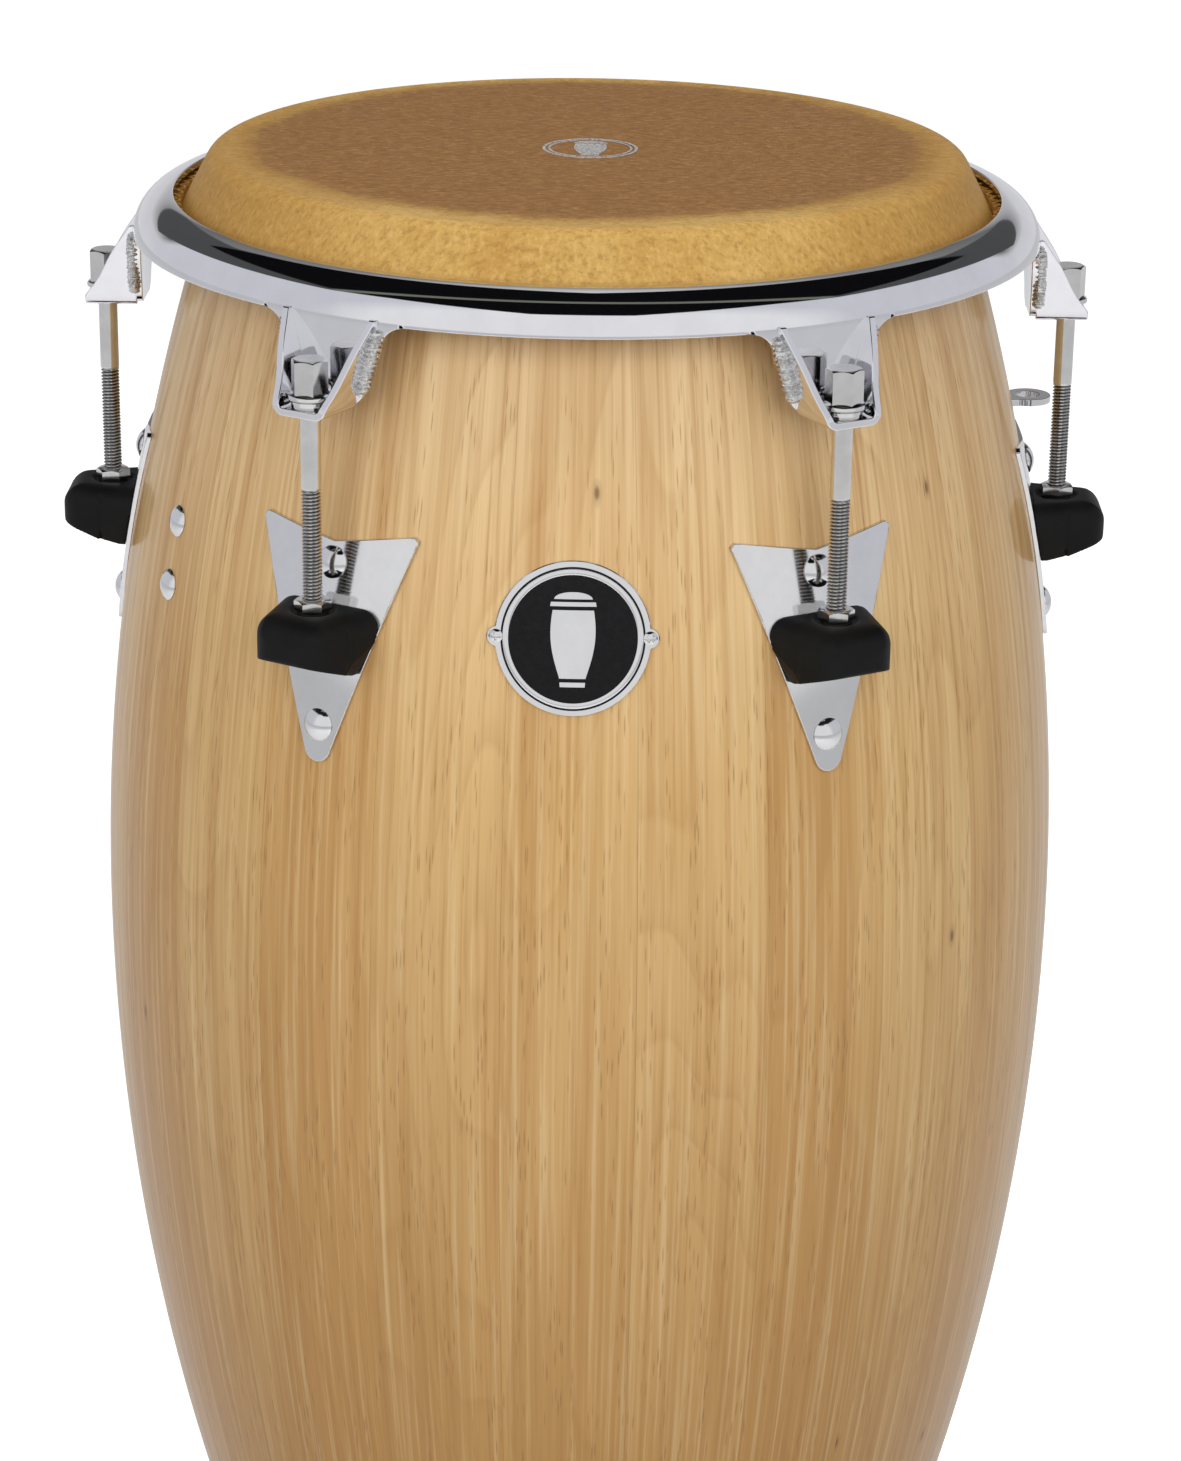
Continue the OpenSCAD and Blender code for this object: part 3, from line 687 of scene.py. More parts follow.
def rim():
    """The rolled edge with its six tabs, one closed sheet of metal."""
    step = 0.5
    count = int(360 / step)
    tab_cols = 20
    roll = 14
    outer = arc(RIM_R - ROLL, ROLL_Z, ROLL, 90, 0, roll)
    inner = arc(RIM_R - ROLL, ROLL_Z, ROLL - RIM_T, 90, 0, roll)
    heights = [ROLL_Z - FLARE + FLARE * math.sin(math.radians(90 - 9 * k)) for k in range(1, 11)]
    heights += [TAB_BOTTOM + TAB_END_R + (ROLL_Z - FLARE - TAB_BOTTOM - TAB_END_R) * k / 5 for k in (4, 3, 2, 1)]
    heights += [TAB_BOTTOM + TAB_END_R * (1 - math.sin(math.radians(12.857 * k))) for k in range(8)]
    verts, index, faces = [], {}, []

    def vert(key, r, a, z):
        if key not in index:
            index[key] = len(verts)
            verts.append((r * math.sin(a), -r * math.cos(a), z))
        return index[key]

    def roll_vert(side, c, row):
        line = outer if side else inner
        return vert((side, c % count, row), line[row][0], math.radians(c * step), line[row][1])

    in_tab = {}
    for lug, az in enumerate(LUG_AZ):
        for k in range(-tab_cols, tab_cols):
            in_tab[int(az / step + k) % count] = (lug, k)

    def tab_vert(side, lug, k, row):
        if row == 0:
            return roll_vert(side, int(LUG_AZ[lug] / step) + k, roll)
        z = heights[row - 1]
        a = math.radians(LUG_AZ[lug]) + k / tab_cols * tab_half_width(z) / RIM_R
        return vert((side, "tab", lug, k, row), RIM_R - (0 if side else RIM_T), a, z)

    for c in range(count):
        for row in range(roll):
            o = [roll_vert(1, c, row), roll_vert(1, c + 1, row), roll_vert(1, c + 1, row + 1), roll_vert(1, c, row + 1)]
            i = [roll_vert(0, c, row), roll_vert(0, c, row + 1), roll_vert(0, c + 1, row + 1), roll_vert(0, c + 1, row)]
            faces += [tuple(o), tuple(i)]
        faces.append((roll_vert(1, c, 0), roll_vert(0, c, 0), roll_vert(0, c + 1, 0), roll_vert(1, c + 1, 0)))
        if c not in in_tab:
            faces.append((roll_vert(1, c, roll), roll_vert(1, c + 1, roll),
                          roll_vert(0, c + 1, roll), roll_vert(0, c, roll)))
            continue
        lug, k = in_tab[c]
        last = len(heights)
        for row in range(last):
            for side in (1, 0):
                quad = (tab_vert(side, lug, k, row), tab_vert(side, lug, k + 1, row),
                        tab_vert(side, lug, k + 1, row + 1), tab_vert(side, lug, k, row + 1))
                faces.append(quad if side else quad[::-1])
            for edge in (-tab_cols, tab_cols):
                if edge in (k, k + 1):
                    faces.append((tab_vert(1, lug, edge, row), tab_vert(1, lug, edge, row + 1),
                                  tab_vert(0, lug, edge, row + 1), tab_vert(0, lug, edge, row)))
        faces.append((tab_vert(1, lug, k, last), tab_vert(1, lug, k + 1, last),
                      tab_vert(0, lug, k + 1, last), tab_vert(0, lug, k, last)))
    data = tidied(mesh("rim", verts, faces, CHROME, 40))
    piece("rim", data, "rim", ["rim"], bevel=0.45 * MM)


def channel_path(corner):
    """Half of the bracket's front outline, from the middle of the bottom up the wall."""
    flat, lean, cz, wall_rows = 7.35 * MM, WALL_LEAN, BRACKET_Z + 5 * MM, 14
    bottom = [(flat * k / 4, cz - corner) for k in range(4)]
    bend = arc(flat, cz, corner, -90, -lean, 6)
    y0, z0 = bend[-1]
    wall = []
    for k in range(1, wall_rows + 1):
        z = z0 + (BRACKET_TOP - z0) * k / wall_rows
        wall.append((y0 + (z - z0) * math.tan(math.radians(lean)), z))
    return bottom + bend + wall


def front_of_wall(z):
    """How far out the bracket reaches at height z: a lip below, then a slope with a slight S."""
    lip = BRACKET_Z + 4.7 * MM
    if z <= lip:
        return BRACKET_FRONT
    share = min((z - lip) / (BRACKET_TOP - lip), 1.0)
    swell = 1.3 * MM * math.sin(math.pi * 2 * share) * (1 - share)
    return BRACKET_FRONT + (RIM_R + 0.5 * MM - BRACKET_FRONT) * share - swell


def bracket_mesh():
    """A channel bent from sheet, welded to its tab, drawn with +X outwards."""
    halves = [channel_path(5 * MM), channel_path(2 * MM)]
    loops = []
    for path in halves:
        full = [(-y, z) for y, z in reversed(path[1:])] + path
        rows = []
        for y, z in full:
            back, front = math.sqrt(RIM_R ** 2 - y * y) - 0.3 * MM, front_of_wall(z)
            rows.append([(back + (front - back) * k / 4, y, z) for k in range(5)])
        loops.append(rows)
    rows = [out + inn[::-1] for out, inn in zip(*loops)]
    body = loose(tidied(mesh("rim_bracket", *bar(rows), CHROME)))
    wall = [(HOLE_R, BRACKET_Z - 10 * MM), (HOLE_R, BRACKET_Z + 12 * MM)]
    drill = loose(mesh("drill", *lathe(wall, 40), CHROME))
    drill.matrix_world = Matrix.Translation((LUG_R, 0, 0))
    cut = body.modifiers.new("hole", "BOOLEAN")
    cut.operation, cut.object, cut.solver = "DIFFERENCE", drill, "EXACT"
    bpy.context.view_layer.update()
    data = baked(body)
    bpy.data.objects.remove(drill)
    data.set_sharp_from_angle(angle=math.radians(35))
    return data


def weld_mesh(side, seed):
    """A lumpy bead in the corner between a bracket's wall and the tab."""
    rng = random.Random(seed)
    phase = rng.random() * 6
    rings, segs = 54, 14
    lean = math.tan(math.radians(WALL_LEAN))
    low, length = 699 * MM, 27 * MM
    rows = []
    for k in range(rings + 1):
        s = k / rings
        z = low + length * s
        wall_y = 12.2 * MM + (z - 696.6 * MM) * lean
        blob = 1 + 0.16 * math.sin(s * 78 + phase) + 0.22 * noise.noise(Vector((s * 9, seed, 0)))
        round_end = math.sqrt(max(1 - (2 * s - 1) ** 8, 0.0))
        r = 2.8 * MM * blob * max(round_end, 0.02)
        y = side * (wall_y + 1.0 * MM)
        x = math.sqrt(RIM_R ** 2 - y * y) + 0.3 * MM
        ring = []
        for q in range(segs):
            a = 2 * math.pi * q / segs
            rough = 1 + 0.14 * noise.noise(Vector((math.cos(a) * 2, s * 30, seed + math.sin(a) * 2)))
            ring.append((x + r * rough * 0.95 * math.cos(a), y + side * r * rough * 1.1 * math.sin(a), z))
        rows.append(ring)
    return bar(rows)


# ---------------------------------------------------------------- tuning hardware
def hex_radius(a, flat):
    """Distance from the axis to the side of a hexagon flat across its half width."""
    return flat / math.cos((a + math.pi / 6) % (math.pi / 3) - math.pi / 6)


def hex_body(flat, z0, z1, hole=0.0):
    """A hexagon with a turned chamfer on top, solid or with a hole."""
    segs, slope, eased = 72, math.tan(math.radians(30)), flat * 0.94

    def ring(radius_of, height_of):
        row = []
        for k in range(segs):
            a = 2 * math.pi * k / segs
            r = radius_of(a)
            row.append((r * math.cos(a), r * math.sin(a), height_of(r)))
        return row

    def side(a):
        return hex_radius(a, flat)

    rows = [ring(lambda a: hole, lambda r: z0), ring(side, lambda r: z0),
            ring(side, lambda r: z1 - (r - eased) * slope), ring(lambda a: eased, lambda r: z1),
            ring(lambda a: hole or eased * 0.9, lambda r: z1)]
    if hole:
        return strip(rows, True, True)
    rows.append(ring(lambda a: 0.0, lambda r: z1))
    return strip(rows, False, True)


def threaded_rod(z0, z1):
    """A 60 degree right-hand thread cut as a true helix, with eased ends."""
    segs, per_turn = 28, 10
    depth = 0.62 * PITCH
    count = int((z1 - z0) / PITCH * per_turn)
    rows = [[(0.0, 0.0, z0)] * segs]
    for k in range(count + 1):
        z = z0 + (z1 - z0) * k / count
        row = []
        for q in range(segs):
            a = 2 * math.pi * q / segs
            u = (z / PITCH - q / segs) % 1.0
            groove = min(max((abs(2 * u - 1) - 0.12) / 0.76, 0.0), 1.0)
            fade = min((z1 - z) / (1.2 * PITCH), 1.0)
            tip = max(0.0, 1 - (z - z0) / (1.1 * PITCH)) * 0.9 * MM
            r = BOLT_R - depth * groove * fade - tip
            row.append((r * math.cos(a), r * math.sin(a), z))
        rows.append(row)
    return strip(rows, False, True)


def bolt_mesh():
    """The tuning bolt round its own axis: hexagon, flange, plain shank and thread."""
    seat, thread_top = 699.1 * MM, 664 * MM
    head = hex_body(6.5 * MM, seat + 2.2 * MM, BOLT_TOP)
    flange = lathe([(0, seat), (8.1 * MM, seat), (8.5 * MM, seat + 0.4 * MM), (8.5 * MM, seat + 1.5 * MM),
                    (8.1 * MM, seat + 2.1 * MM), (6.4 * MM, seat + 3.0 * MM), (0, seat + 3.0 * MM)], 72)
    shank = lathe([(0, thread_top), (BOLT_R, thread_top), (BOLT_R, seat + 0.5 * MM), (0, seat + 0.5 * MM)], 48)
    verts, faces = join(head, flange, shank, threaded_rod(BOLT_END, thread_top + 0.2 * MM))
    data = tidied(mesh("tuning_bolt", verts, faces, STEEL))
    # how deep each point lies in the thread's groove, which the steel uses for its painted shade
    depths = [(BOLT_R - math.hypot(v.co.x, v.co.y)) / (0.62 * PITCH) if v.co.z < thread_top else 0.0
              for v in data.vertices]
    data.attributes.new("groove", "FLOAT", "POINT").data.foreach_set("value", depths)
    return data


def washer_mesh():
    low, r0, r1 = 696 * MM, HOLE_R, 7.25 * MM
    edge = 0.4 * MM
    profile = [(r0, low), (r1 - edge, low), (r1, low + edge), (r1, low + 2.4 * MM),
               (r1 - edge, low + 3 * MM), (r0, low + 3 * MM)]
    return tidied(mesh("bolt_washer", *lathe(profile, 64, True), STEEL))


def nut_mesh():
    """The receiver nut: a barrel in the shelf and a chamfered collar on the protector."""
    collar = NUT_TOP - 4.2 * MM
    bore = BOLT_R + 0.06 * MM
    barrel = lathe([(bore, 596 * MM), (5.7 * MM, 596 * MM), (6 * MM, 596.5 * MM), (6 * MM, collar + 0.3 * MM),
                    (bore, collar + 0.3 * MM)], 64, True)
    top = hex_body(6.35 * MM, collar, NUT_TOP, bore)
    return tidied(mesh("receiver_nut", *join(barrel, top), STEEL))


def prism(outline, low, high):
    """A loose upright prism, used as a cutting tool."""
    n = len(outline)
    verts = [(x, y, z) for z in (low, high) for x, y in outline]
    faces = [tuple(reversed(range(n))), tuple(range(n, 2 * n))]
    faces += [(k, (k + 1) % n, (k + 1) % n + n, k + n) for k in range(n)]
    return loose(tidied(mesh("prism", verts, faces, RUBBER)))


def block_outline(inset):
    """The protector from above, drawn in by inset: a round nose, wider at the shell."""
    r, half, side, front, back = 10 * MM, 7 * MM, 16, 223.4 * MM, 178 * MM
    nose = arc(front - r, half, r - inset, 90 - side, 0, 8)
    edge = [(back, nose[0][1] + (nose[0][0] - back) * math.tan(math.radians(side)))] + nose
    return edge + [(x, -y) for x, y in reversed(edge)]


def protector_mesh():
    """The rubber block: the CAD solid softened, with its mould seam and a dish for the collar."""
    source = frame["nodes"]["protector_2"]
    data = source.data.copy()
    data.transform(turned(LUG_AZ[1]).inverted() @ source.matrix_world)
    data.materials.clear()
    data.materials.append(RUBBER)
    body = loose(data)
    tools = []
    dish = loose(mesh("dish", *lathe([(8.6 * MM, 613.4 * MM), (9.6 * MM, 616 * MM)], 64), RUBBER))
    dish.matrix_world = Matrix.Translation((LUG_R, 0, 0))
    tools.append(dish)
    block_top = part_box("protector_1")[1].z
    edge_r = 8 * MM
    levels = [(580 * MM, 0.0)] + [(block_top - edge_r + edge_r * math.sin(a), edge_r * (1 - math.cos(a)))
                                  for a in [math.pi / 2 * k / 10 for k in range(11)]]
    rows = []
    for z, inset in levels:
        rows.append([(x, y, z) for x, y in block_outline(inset)])
    verts, faces = strip(rows, close_cols=True)
    n = len(rows[0])
    faces += [tuple(reversed(range(n))), tuple((len(rows) - 1) * n + k for k in range(n))]
    rounded = loose(tidied(mesh("rounded", verts, faces, RUBBER)))
    seam_x = LUG_R + 3.4 * MM
    for s in (-1, 1):
        tools.append(prism([(seam_x - 0.6 * MM, s * 17.3 * MM), (seam_x + 0.6 * MM, s * 17.3 * MM),
                            (seam_x + 0.6 * MM, s * 30 * MM), (seam_x - 0.6 * MM, s * 30 * MM)],
                           570 * MM, block_top + 1 * MM))
        under = [(seam_x - 0.3 * MM, s * 13 * MM, 583 * MM), (seam_x - 0.3 * MM, s * 26 * MM, 609 * MM),
                 (seam_x - 0.3 * MM, s * 34 * MM, 583 * MM)]
        under += [(x - 40 * MM, y, z) for x, y, z in under]
        tools.append(loose(tidied(mesh("under", under, [(0, 1, 2), (5, 4, 3), (0, 3, 4, 1), (1, 4, 5, 2),
                                                        (2, 5, 3, 0)], RUBBER))))
    merge = body.modifiers.new("weld", "WELD")
    merge.merge_threshold = 0.00001
    cut = body.modifiers.new("round", "BOOLEAN")
    cut.operation, cut.object, cut.solver = "INTERSECT", rounded, "EXACT"
    for tool in tools:
        cut = body.modifiers.new("cut", "BOOLEAN")
        cut.operation, cut.object, cut.solver = "DIFFERENCE", tool, "EXACT"
    shape = body.modifiers.new("remesh", "REMESH")
    shape.mode, shape.voxel_size, shape.use_smooth_shade = "VOXEL", 0.55 * MM, True
    soften = body.modifiers.new("soften", "SMOOTH")
    soften.factor, soften.iterations = 0.5, 3
    bpy.context.view_layer.update()
    data = baked(body)
    for tool in tools + [rounded]:
        bpy.data.objects.remove(tool)
    data.name = "protector"
    data.shade_smooth()
    return data


def dome_mesh(name, r, h, mat, cross=False):
    """A domed head with its underside at z = 0, with a cross slot if asked."""
    ball, skirt = (r * r + h * h) / (2 * h), 0.4 * MM
    rings, segs = (30, 72) if cross else (14, 48)
    rows = [[(0.0, 0.0, 0.0)] * segs, [(r * math.cos(2 * math.pi * q / segs), r * math.sin(2 * math.pi * q / segs), 0)
                                       for q in range(segs)]]
    for k in range(rings + 1):
        rho = r * (1 - k / rings) if cross else r * math.cos(math.pi / 2 * k / rings)
        row = []
        for q in range(segs):
            a = 2 * math.pi * q / segs
            x, y = rho * math.cos(a), rho * math.sin(a)
            z = skirt + (h - skirt) * (math.sqrt(max(ball ** 2 - rho ** 2, 0)) - (ball - h)) / h
            if cross:
                arm, width = 0.62 * r, 0.17 * r
                near = min(max(abs(x), abs(y)), arm) >= max(abs(x), abs(y)) and min(abs(x), abs(y)) < width
                z -= 0.75 * MM * near
            row.append((x, y, z))
        rows.append(row)
    return tidied(mesh(name, *strip(rows, False, True), mat))


# ---------------------------------------------------------------- plates
def bent(y, z, out):
    """A point of a plate drawn in y and z, laid on the shell."""
    return (math.sqrt(max(shell_radius(z, out) ** 2 - y * y, 0)), y, z)


def side_plate_mesh():
    """The arrowhead plate, following the shell, with its two upper points and round tip."""
    half, top, notch, tip, tip_r = 36 * MM, 644.4 * MM, 638.5 * MM, 551.3 * MM, 6 * MM
    cz = tip + tip_r
    reach = math.hypot(half, top - cz)
    touch = math.atan2(top - cz, half) - math.acos(tip_r / reach)
    ty, tz = tip_r * math.cos(touch), cz + tip_r * math.sin(touch)
    cols = [ty * math.sin(math.pi / 2 * k / 10) for k in range(11)]
    cols += [ty + (half - ty) * k / 40 for k in range(1, 41)]
    cols = [-y for y in reversed(cols[1:])] + cols

    def low(y):
        if abs(y) <= ty:
            return cz - math.sqrt(tip_r ** 2 - y * y)
        return tz + (top - 2.2 * MM - tz) * (abs(y) - ty) / (half - ty)

    def high(y):
        fold = max(0.0, abs(y) - (half - 1.6 * MM)) * 1.1
        return notch + (top - notch) * min(abs(y) / (half - 1.6 * MM), 1.0) - fold

    rows_n = 36

    def face(out):
        return [[bent(y, low(y) + (high(y) - low(y)) * k / rows_n, out) for k in range(rows_n + 1)] for y in cols]

    rows = [up + inn[::-1] for up, inn in zip(face(PLATE_T), face(0.0))]
    return tidied(mesh("side_plate", *bar(rows), TRIM))


def on_badge(x, y, out):
    """A point of the badge, drawn flat round its middle, laid on the shell."""
    return bent(x, BADGE_Z + y * math.cos(shell_lean(BADGE_Z)), out)


def bent_lathe(profile, segs=96):
    """A round shape turned about the badge's axis, then laid on the shell."""
    verts, faces = lathe(profile, segs, True)
    return [on_badge(*v) for v in verts], faces


def badge():
    """Round badge: chromed base with two ears, a raised ring, black enamel and a plain drum."""
    place = turned(0)
    ear_y, ear_r = 29.4 * MM, 4.0 * MM
    plate_t = 1.2 * MM
    segs = 240
    rows = []
    edge = []
    for k in range(segs):
        a = 2 * math.pi * k / segs
        c, s = abs(math.cos(a)), math.sin(a)
        reach = ear_r ** 2 - (ear_y * s) ** 2
        ear = ear_y * c + math.sqrt(reach) if reach > 0 else 0.0
        edge.append(max(30.3 * MM, ear))
    for share, out in ((0.8, 0), (1, 0), (1, plate_t - 0.3 * MM), (0.991, plate_t), (0.95, plate_t),
                       (0.90, plate_t), (0.85, plate_t), (0.8, plate_t)):
        rows.append([on_badge(edge[k] * share * math.cos(2 * math.pi * k / segs),
                              edge[k] * share * math.sin(2 * math.pi * k / segs), out) for k in range(segs)])
    data = tidied(mesh("badge_plate", *strip(rows, True, True), TRIM))
    piece("badge_plate", data, "root", ["badge_plate"], place)
    line = bent_lathe([(27.2 * MM, 1.1 * MM), (28.0 * MM, 1.1 * MM), (28.0 * MM, 1.26 * MM), (27.2 * MM, 1.26 * MM)])
    radii = [0.05 * MM] + [2.5 * MM * k for k in range(1, 11)]
    disc = bent_lathe([(r, 0.0) for r in radii] + [(r, 1.45 * MM) for r in reversed(radii)])
    data = tidied(mesh("badge_disc", *join(line, disc), ENAMEL))
    piece("badge_disc", data, "root", ["badge_disc"], place)
    ring = bent_lathe([(24.9 * MM, 0.6 * MM), (27.2 * MM, 0.6 * MM), (27.1 * MM, 1.5 * MM), (26.6 * MM, 1.7 * MM),
                       (25.4 * MM, 1.7 * MM), (25.0 * MM, 1.5 * MM)])
    piece("badge_ring", tidied(mesh("badge_ring", *ring, TRIM)), "root", place=place)
    parts = [field_solid(rows, 1.4 * MM, 1.75 * MM, on_badge) for rows in drum_mark(37 * MM)]
    data = tidied(mesh("badge_motif", *join(*parts), TRIM))
    piece("badge_motif", data, "root", place=place)
    screw = dome_mesh("badge_screw", 2.75 * MM, 1.4 * MM, TRIM, True)
    for s in (-1, 1):
        spin = Matrix.Rotation(math.radians(20 * s + 30), 4, "Z")
        piece(f"badge_screw_{(s + 3) // 2}", screw, "root", ["badge_screws"],
              on_shell(8.9 * s, BADGE_Z, plate_t) @ spin)


def wrench_holder():
    """A leg bolted to the shell, bent out into a flat eye."""
    place = turned(105)
    top, eye_r, half = 644.5 * MM, 200.6 * MM, 8 * MM
    segs = 72
    out_ring, in_ring = [], []
    for k in range(segs):
        a = 2 * math.pi * k / segs
        c, s = math.cos(a), math.sin(a)
        r = 10 * MM
        if c < 0:
            side = min(half / max(abs(s), 1e-6), (eye_r - 185.5 * MM) / -c)
            r = max(r, side) if abs(s) * r < half + 0.2 * MM else r
        out_ring.append((eye_r + r * c, r * s))
        in_ring.append((eye_r + 5.25 * MM * c, 5.25 * MM * s))
    rows = [[(x, y, top - HOLDER_T) for x, y in in_ring], [(x, y, top - HOLDER_T) for x, y in out_ring],
            [(x, y, top) for x, y in out_ring], [(x, y, top) for x, y in in_ring]]
    eye = strip(rows, True, True)
    rows = []
    for k in range(25):
        z = 590 * MM + (top - 0.05 * MM - 590 * MM) * k / 24
        w = half if z > 598 * MM else math.sqrt(max(half ** 2 - (598 * MM - z) ** 2, (0.4 * MM) ** 2))
        ys = [w * (j / 4 - 1) for j in range(9)]
        rows.append([bent(y, z, HOLDER_T) for y in ys] + [bent(y, z, 0) for y in reversed(ys)])
    data = tidied(mesh("wrench_holder", *join(eye, bar(rows)), TRIM))
    piece("wrench_holder", data, "root", ["wrench_holder"], place, bevel=0.35 * MM)


def clamps():
    """Domed carriage bolts: one piece for each, and the shanks inside the shell."""
    head = dome_mesh("carriage_bolt", 6.5 * MM, 3.2 * MM, TRIM)
    shank = lathe([(0, -25 * MM), (2.7 * MM, -25 * MM), (3.17 * MM, -24.5 * MM), (3.17 * MM, 0.2 * MM),
                   (0, 0.2 * MM)], 24)
    verts = [tuple(v.co) for v in head.vertices]
    faces = [tuple(p.vertices) for p in head.polygons]
    data = tidied(mesh("carriage_bolt", *join((verts, faces), shank), TRIM))
    for k, (az, z, out) in enumerate(CLAMPS):
        piece(f"carriage_bolt_{k + 1}", data, "root", ["carriage_bolts"], on_shell(az, z, out))


def lug_sets():
    """Everything that repeats at each tuning bolt."""
    bracket, bolt, washer, nut = bracket_mesh(), bolt_mesh(), washer_mesh(), nut_mesh()
    block, plate = protector_mesh(), side_plate_mesh()
    rng = random.Random(3)
    for i, az in enumerate(LUG_AZ, 1):
        place = turned(az)
        axis = place @ Matrix.Translation((LUG_R, 0, 0))
        piece(f"rim_bracket_{i}", bracket, "rim", [f"rim_bracket_{i}"], place, bevel=0.5 * MM)
        welds = tidied(mesh(f"weld_{i}", *join(weld_mesh(-1, 10 + i), weld_mesh(1, 20 + i)), WELD, 50))
        piece(f"weld_{i}", welds, "rim", place=place)
        spin = Matrix.Rotation(math.radians(rng.uniform(0, 60)), 4, "Z")
        piece(f"tuning_bolt_{i}", bolt, f"bolt_{i}", [f"tuning_bolt_{i}"], axis @ spin)
        piece(f"bolt_washer_{i}", washer, "rim", ["bolt_washers"], axis)
        turn = Matrix.Rotation(math.radians(rng.uniform(0, 60)), 4, "Z")
        piece(f"receiver_nut_{i}", nut, "root", [f"receiver_nut_{i}"], axis @ turn)
        piece(f"protector_{i}", block, "root", [f"protector_{i}"], place)
        piece(f"side_plate_{i}", plate, "root", [f"side_plate_{i}"], place, bevel=0.3 * MM)


def carried_over():
    """CAD nodes that stay get a zinc finish."""
    names = ["flesh_hoop", "fender_washers", "hex_nuts"] + [f"lug_bracket_{i + 1}" for i in range(LUGS)]
    for name in names:
        data = frame["nodes"][name].data
        data.materials.clear()
        data.materials.append(ZINC)


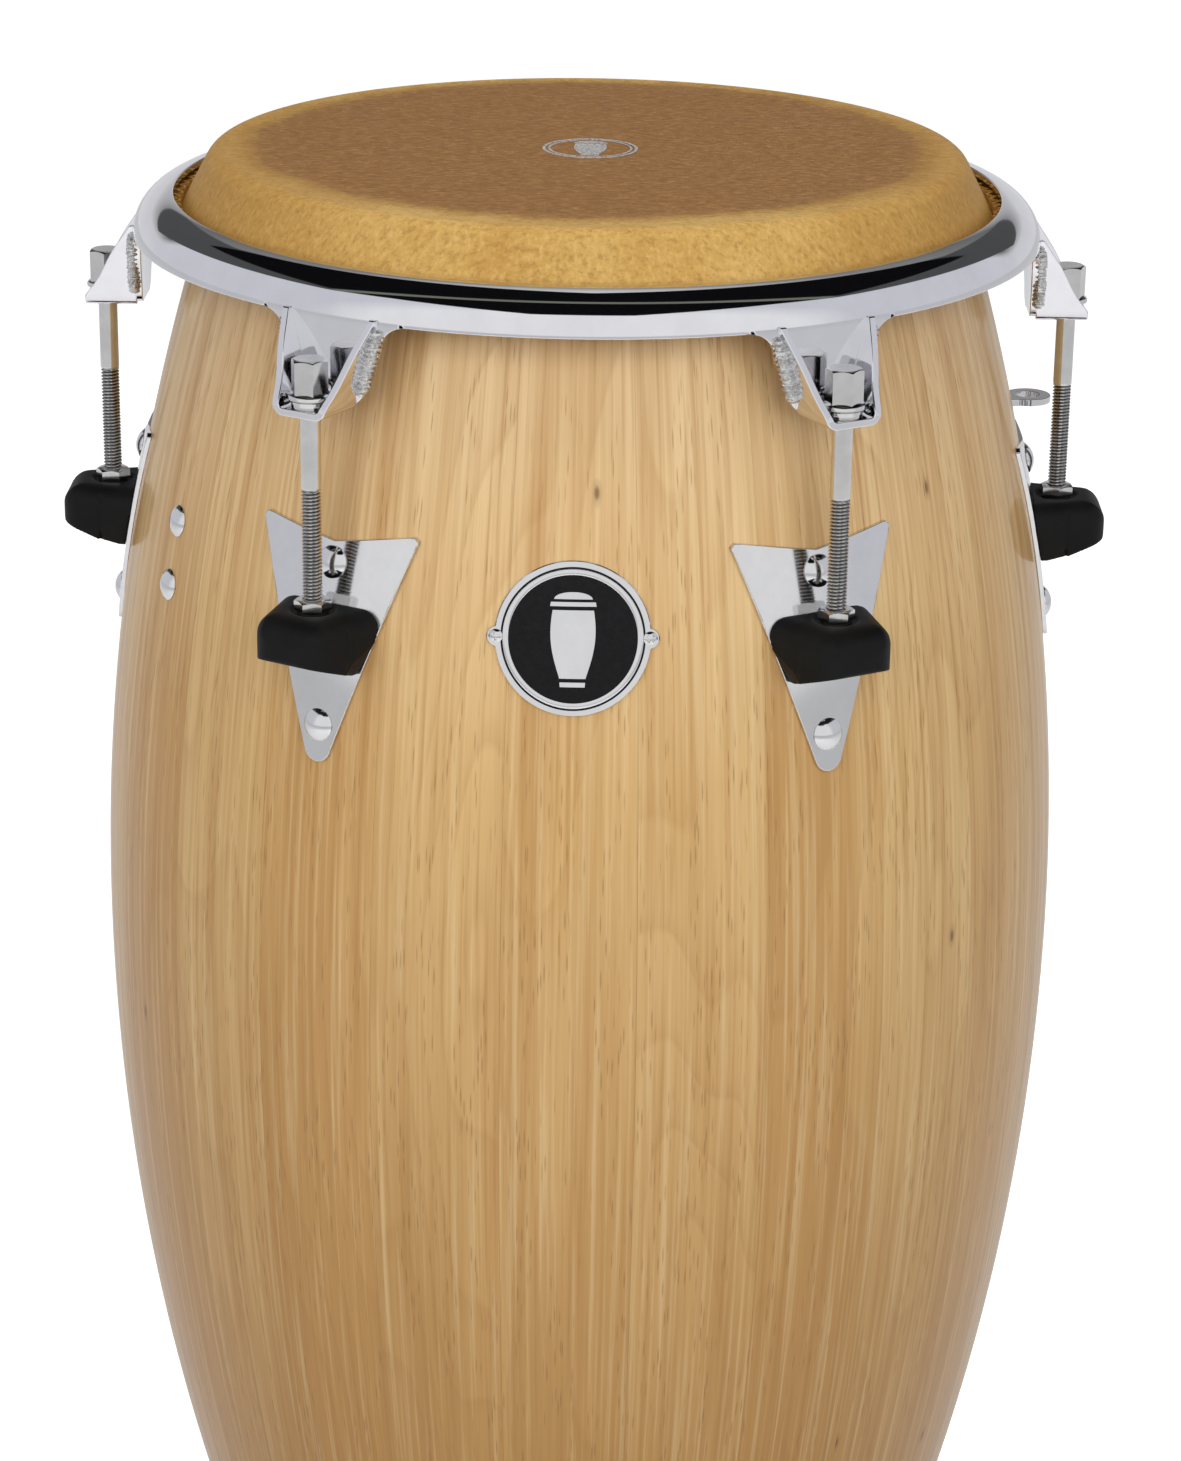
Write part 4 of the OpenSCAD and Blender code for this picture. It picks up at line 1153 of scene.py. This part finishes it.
# ---------------------------------------------------------------- stage, light and camera
def stage():
    """A pale floor, soft boxes and a studio that is white below and dark overhead."""
    mat, n, shader = material("studio_floor", Roughness=0.9)
    place = n.place()
    paper = n.noise(place, 40.0, 3.0)
    shader.inputs["Emission Color"].default_value = (1, 1, 1, 1)
    seen = n.add("ShaderNodeLightPath").outputs
    glow = n.mul_add(seen["Is Camera Ray"], 0.55, n.mul(seen["Is Glossy Ray"], 0.12))
    tint = n.ramp(paper, [(0.3, (0.86, 0.86, 0.86)), (0.7, (0.89, 0.89, 0.89))])
    link(n, shader, Emission_Strength=glow, Base_Color=n.mix(seen["Is Diffuse Ray"], tint, (0.24, 0.23, 0.22)))
    edge = [(9 * math.cos(math.pi * k / 48), 9 * math.sin(math.pi * k / 48), -0.0005) for k in range(96)]
    floor = loose(mesh("floor", edge, [tuple(range(96))], mat))
    floor.name = "floor"
    for name, az, elevation, distance, size, power in (
            ("key", 26, 20, 1.8, (1.3, 1.0), 10.4), ("fill", -30, 20, 1.8, (1.3, 1.0), 8.8),
            ("top", 0, 80, 2.4, (1.6, 1.0), 12), ("back", 178, 30, 3.0, (2.4, 1.2), 12)):
        light = bpy.data.lights.new(name, "AREA")
        light.shape, light.size, light.size_y, light.energy = "RECTANGLE", *size, power
        lamp = bpy.data.objects.new(name, light)
        lamp.visible_glossy = lamp.visible_camera = False
        bpy.context.collection.objects.link(lamp)
        a, e = math.radians(az), math.radians(elevation)
        aim = Vector((math.sin(a) * math.cos(e), -math.cos(a) * math.cos(e), math.sin(e)))
        lamp.location = Vector((0, 0, 0.62)) + aim * distance
        lamp.rotation_euler = aim.to_track_quat("Z", "Y").to_euler()
    world = bpy.data.worlds.new("studio")
    bpy.context.scene.world = world
    world.use_nodes = True
    n = Nodes(world.node_tree)
    background = world.node_tree.nodes["Background"]
    split = n.add("ShaderNodeSeparateXYZ", {0: n.add("ShaderNodeTexCoord").outputs["Generated"]})
    x, y, z = split.outputs
    height = n.math("MAXIMUM", z, 0.001)
    across, depth = n.math("DIVIDE", n.math("ABSOLUTE", x), height), n.math("DIVIDE", y, height)

    def inside(value, low, high, soft):
        rise = n.math("DIVIDE", n.math("SUBTRACT", value, low), soft, clamp=True)
        fall = n.math("DIVIDE", n.math("SUBTRACT", high, value), soft, clamp=True)
        return n.mul(rise, fall)

    def below(value, limit, soft=0.03):
        return n.math("DIVIDE", n.math("SUBTRACT", limit, value), soft, clamp=True)

    def all_of(*masks):
        out = masks[0]
        for mask in masks[1:]:
            out = n.mul(out, mask)
        return out

    hatch = n.math("MINIMUM", n.mul_add(depth, 0.68, -0.374), 0.6)
    beside_hatch = below(hatch, across)
    grey_panel = all_of(below(n.mul_add(across, 0.77, -0.9), depth),
                        below(across, n.mul_add(depth, 0.45, 1.07)), below(depth, 3.5), beside_hatch)
    black_panel = all_of(below(n.mul_add(across, 1.2, -1.2), depth, 0.015), below(-0.9, depth, 0.015),
                         below(across, 0.94), below(depth, 1.32), beside_hatch)
    slit = n.mul(inside(depth, -0.17, -0.05, 0.02), below(across, 0.95))
    front = inside(n.mul(y, -1.0), 0.35, 3.0, 0.25)
    look = n.mix(front, (0.66, 0.665, 0.71), (0.90, 0.90, 0.905))
    wall = n.ramp(z, [(0.0, (0.70, 0.70, 0.73)), (0.17, (0.66, 0.66, 0.68)), (0.30, (0.15, 0.15, 0.148)),
                      (0.62, (0.25, 0.25, 0.245)), (0.88, (0.74, 0.74, 0.74))])
    behind = n.mul_add(n.math("ABSOLUTE", x), -0.9, y)
    look = n.mix(n.math("DIVIDE", behind, 0.12, clamp=True), look, wall)
    look = n.mix(grey_panel, look, (0.075, 0.078, 0.080))
    look = n.mix(black_panel, look, (0.004, 0.004, 0.005))
    look = n.mix(n.mul(slit, 0.9), look, (0.20, 0.21, 0.17))
    gloss = n.add("ShaderNodeLightPath").outputs["Is Glossy Ray"]
    world.node_tree.links.new(n.mix(gloss, (0.52, 0.525, 0.54), look), background.inputs["Color"])
    background.inputs["Strength"].default_value = 1.0
    view = bpy.context.scene.view_settings
    view.view_transform, view.look, view.exposure, view.gamma = "Standard", "None", 0.0, 1.0


def camera():
    """The main view: about a metre up and 1.6 m away, 20 degrees down."""
    data = bpy.data.cameras.new("camera")
    data.sensor_width, data.lens = 36, 95.28
    data.clip_start, data.clip_end = 0.05, 60
    cam = bpy.data.objects.new("camera", data)
    bpy.context.collection.objects.link(cam)
    distance, height = 1.5993, 1.0895
    stand, heading = math.radians(1.042), math.radians(-0.890)
    pitch, roll = math.radians(20.169), math.radians(0.76)
    forward = Vector((math.sin(heading) * math.cos(pitch), math.cos(heading) * math.cos(pitch), -math.sin(pitch)))
    right = Vector((math.cos(heading), -math.sin(heading), 0))
    up = right.cross(forward)
    across = right * math.cos(roll) + up * math.sin(roll)
    upward = up * math.cos(roll) - right * math.sin(roll)
    turn = Matrix((across, upward, -forward)).transposed().to_4x4()
    spot = Vector((distance * math.sin(stand), -distance * math.cos(stand), height))
    cam.matrix_world = Matrix.Translation(spot) @ turn
    bpy.context.scene.camera = cam


camera()
shell()
foot_ring()
head()
head_tuck()
head_stamp()
rim()
lug_sets()
clamps()
badge()
wrench_holder()
carried_over()
stage()
